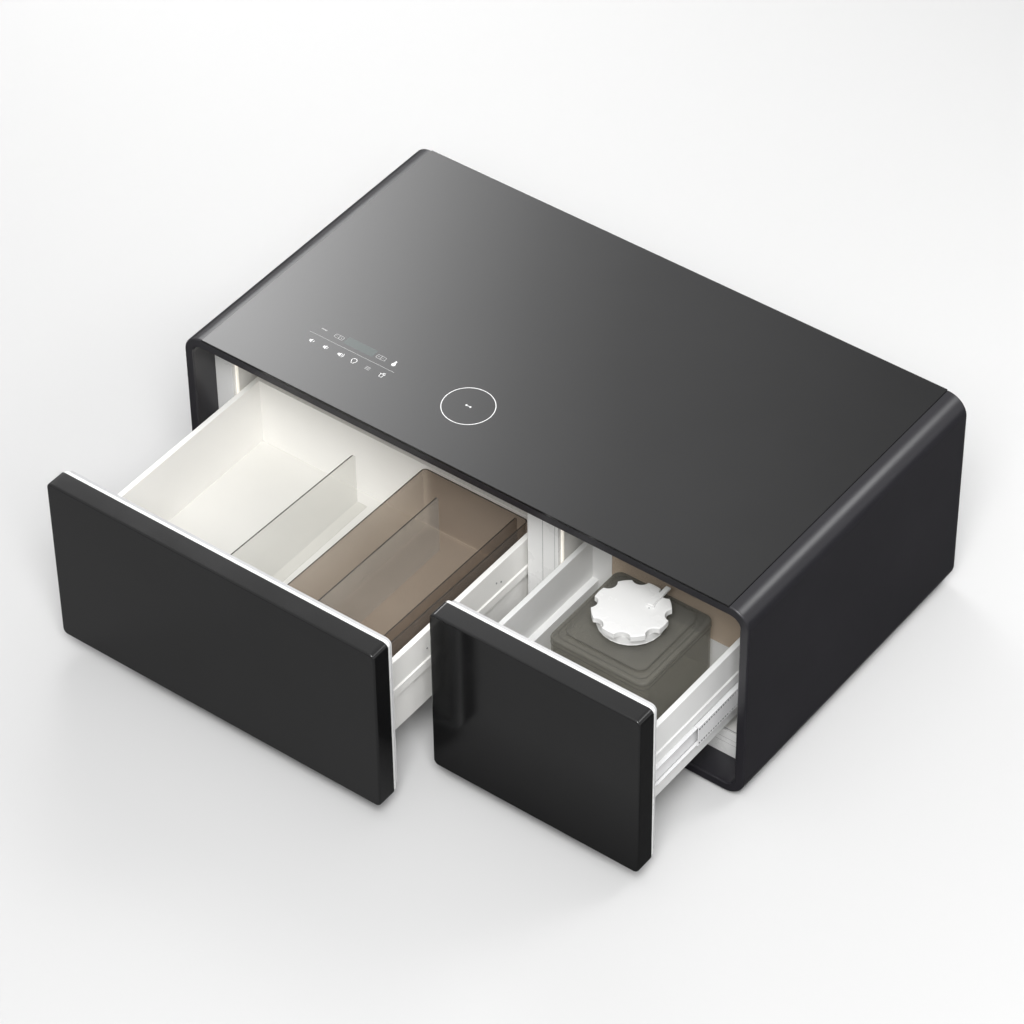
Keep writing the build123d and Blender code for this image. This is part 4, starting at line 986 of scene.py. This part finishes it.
class TABLE_OT_stage(bpy.types.Operator):
    """Floor, light and camera"""

    bl_idname = "table.stage"
    bl_label = "Stage"

    def execute(self, context):
        studio = context.scene.table_studio
        self.floor()
        self.lamp("overhead", *OVERHEAD, studio.overhead)
        self.lamp("fill", *FILL, studio.fill)
        self.cloth(studio)
        self.camera(context.scene, studio)
        self.world(context.scene, studio)
        context.scene.view_settings.view_transform = "Standard"
        return {"FINISHED"}

    def floor(self):
        """Pale floor. Polished surfaces see it darker than the camera does, as a studio's black
        cloths round the set would make it."""
        made, tree, main = blank("Pale floor")
        main.inputs["Roughness"].default_value = 0.8
        main.inputs["Base Color"].default_value = FLOOR_TONE
        main.inputs["Specular IOR Level"].default_value = 0.1
        y = node(tree, "ShaderNodeSeparateXYZ", Vector=object_place(tree)).outputs["Y"]
        tone = blend(tree, ramped(tree, y, *FLOOR_BAND), FLOOR_SEEN_IN_FRONT, FLOOR_SEEN_BEHIND)
        dark = node(tree, "ShaderNodeBsdfDiffuse", Color=tone)
        glossy = node(tree, "ShaderNodeLightPath").outputs["Is Glossy Ray"]
        mixed = node(tree, "ShaderNodeMixShader", Fac=glossy, i1=main.outputs[0], i2=dark.outputs[0])
        output_of(tree, mixed.outputs[0])
        far = FLOOR_HALF_SIDE
        staged_sheet("floor", [(-far, -far, 0), (far, -far, 0), (far, far, 0), (-far, far, 0)], made)

    def lamp(self, name, place, side, power):
        """A square lamp that looks at the table."""
        lamp = bpy.data.lights.new(name, "AREA")
        lamp.shape = "SQUARE"
        lamp.size = side
        lamp.energy = power
        obj = staged(bpy.data.objects.new(name, lamp))
        obj.location = place
        obj.rotation_euler = (Vector(LAMP_AIM) - Vector(place)).to_track_quat("-Z", "Y").to_euler()

    def cloth(self, studio):
        """A sheet of lit cloth behind the table, which the camera doesn't see. In the glass top it
        falls off from bright at the left to the room's tone, with a bright patch at the right."""
        made, tree, main = blank("Lit cloth")
        tree.nodes.remove(main)
        place = object_place(tree)
        split = node(tree, "ShaderNodeSeparateXYZ", Vector=place)
        s = maths(tree, "MULTIPLY_ADD", split.outputs["Y"], CLOTH_SLANT, split.outputs["X"])
        ramp = node(tree, "ShaderNodeValToRGB", Fac=ramped(tree, s, *CLOTH_RUN))
        stops = ramp.color_ramp.elements
        stops[0].position, stops[1].position = CLOTH_LEVELS[0][0], CLOTH_LEVELS[-1][0]
        for position, _ in CLOTH_LEVELS[1:-1]:
            stops.new(position)
        for stop, (_, level) in zip(stops, CLOTH_LEVELS):
            stop.color = (level / CLOTH_FULL, level / CLOTH_FULL, level / CLOTH_FULL, 1)
        level = maths(tree, "MULTIPLY", ramp.outputs["Color"], CLOTH_FULL)
        fade = ramped(tree, split.outputs["Y"], *CLOTH_FADE, _interpolation_type="SMOOTHSTEP")
        left = ramped(tree, fade, 0.0, 1.0, To_Min=studio.world, To_Max=level)
        away = node(tree, "ShaderNodeVectorMath", _operation="DISTANCE", i0=place, i1=PATCH_PLACE)
        patch = ramped(tree, away.outputs["Value"], *PATCH_RADII, To_Min=studio.side_patch, To_Max=0.0,
                       _interpolation_type="SMOOTHSTEP")
        glow = node(tree, "ShaderNodeEmission", Strength=maths(tree, "ADD", left, patch))
        gone = node(tree, "ShaderNodeBsdfTransparent")
        seen = node(tree, "ShaderNodeLightPath").outputs["Is Camera Ray"]
        mixed = node(tree, "ShaderNodeMixShader", Fac=seen, i1=glow.outputs[0], i2=gone.outputs[0])
        output_of(tree, mixed.outputs[0])
        staged_sheet("lit_cloth", [(CLOTH_LEFT, CLOTH_FRONT, CLOTH_HEIGHT),
                                   (CLOTH_LEFT, CLOTH_BACK, CLOTH_HEIGHT),
                                   (CLOTH_RIGHT, CLOTH_BACK, CLOTH_HEIGHT),
                                   (CLOTH_RIGHT, CLOTH_FRONT, CLOTH_HEIGHT)], made)

    def camera(self, scene, studio):
        """The photograph's camera. Its axes come from the line of sight, rolled by a small angle."""
        turn, tilt = math.radians(studio.camera_turn), math.radians(studio.camera_tilt)
        roll = math.radians(studio.camera_roll)
        ahead = np.array([-math.sin(turn) * math.cos(tilt), math.cos(turn) * math.cos(tilt), -math.sin(tilt)])
        right = np.cross(ahead, (0, 0, 1.0))
        right /= np.linalg.norm(right)
        down = np.cross(ahead, right)
        x = math.cos(roll) * right + math.sin(roll) * down
        y = math.sin(roll) * right - math.cos(roll) * down
        data = bpy.data.cameras.new("camera")
        data.lens = studio.lens
        data.sensor_width = SENSOR_WIDTH
        data.clip_end = CLIP_END
        obj = staged(bpy.data.objects.new("camera", data))
        axes = np.column_stack([x, y, -ahead, studio.camera_place])
        obj.matrix_world = Matrix([*axes.tolist(), (0, 0, 0, 1)])
        scene.camera = obj

    def world(self, scene, studio):
        """Even light all round, weaker on matt surfaces than in polished ones."""
        world = bpy.data.worlds.new("Studio")
        world.use_nodes = True
        scene.world = world
        tree = world.node_tree
        sky = tree.nodes["Background"]
        sky.inputs["Color"].default_value = (1, 1, 1, 1)
        matt = node(tree, "ShaderNodeLightPath").outputs["Is Diffuse Ray"]
        level = ramped(tree, matt, 0.0, 1.0, To_Min=studio.world, To_Max=studio.world_diffuse)
        tree.links.new(level, sky.inputs["Strength"])


STEPS = (TABLE_OT_case, TABLE_OT_print, TABLE_OT_frame, TABLE_OT_fronts, TABLE_OT_boxes,
         TABLE_OT_runners, TABLE_OT_left_fittings, TABLE_OT_right_fittings, TABLE_OT_cooling,
         TABLE_OT_stage)


class TABLE_PT_panel(bpy.types.Panel):
    """Buttons for every step of the table"""

    bl_idname = "TABLE_PT_panel"
    bl_label = "Smart coffee table"
    bl_space_type = "VIEW_3D"
    bl_region_type = "UI"
    bl_category = "Table"

    def draw(self, context):
        for step in STEPS:
            self.layout.operator(step.bl_idname)


CLASSES = (TableFinish, StudioSettings, *STEPS, TABLE_PT_panel)


def register():
    for cls in CLASSES:
        bpy.utils.register_class(cls)
    bpy.types.Scene.table_finish = PointerProperty(type=TableFinish)
    bpy.types.Scene.table_studio = PointerProperty(type=StudioSettings)


def unregister():
    del bpy.types.Scene.table_studio
    del bpy.types.Scene.table_finish
    for cls in reversed(CLASSES):
        bpy.utils.unregister_class(cls)


def main():
    register()
    for name in ("case", "print", "frame", "fronts", "boxes", "runners", "left_fittings",
                 "right_fittings", "cooling", "stage"):
        getattr(bpy.ops.table, name)()
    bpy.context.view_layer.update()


if __name__ == "__main__":
    main()
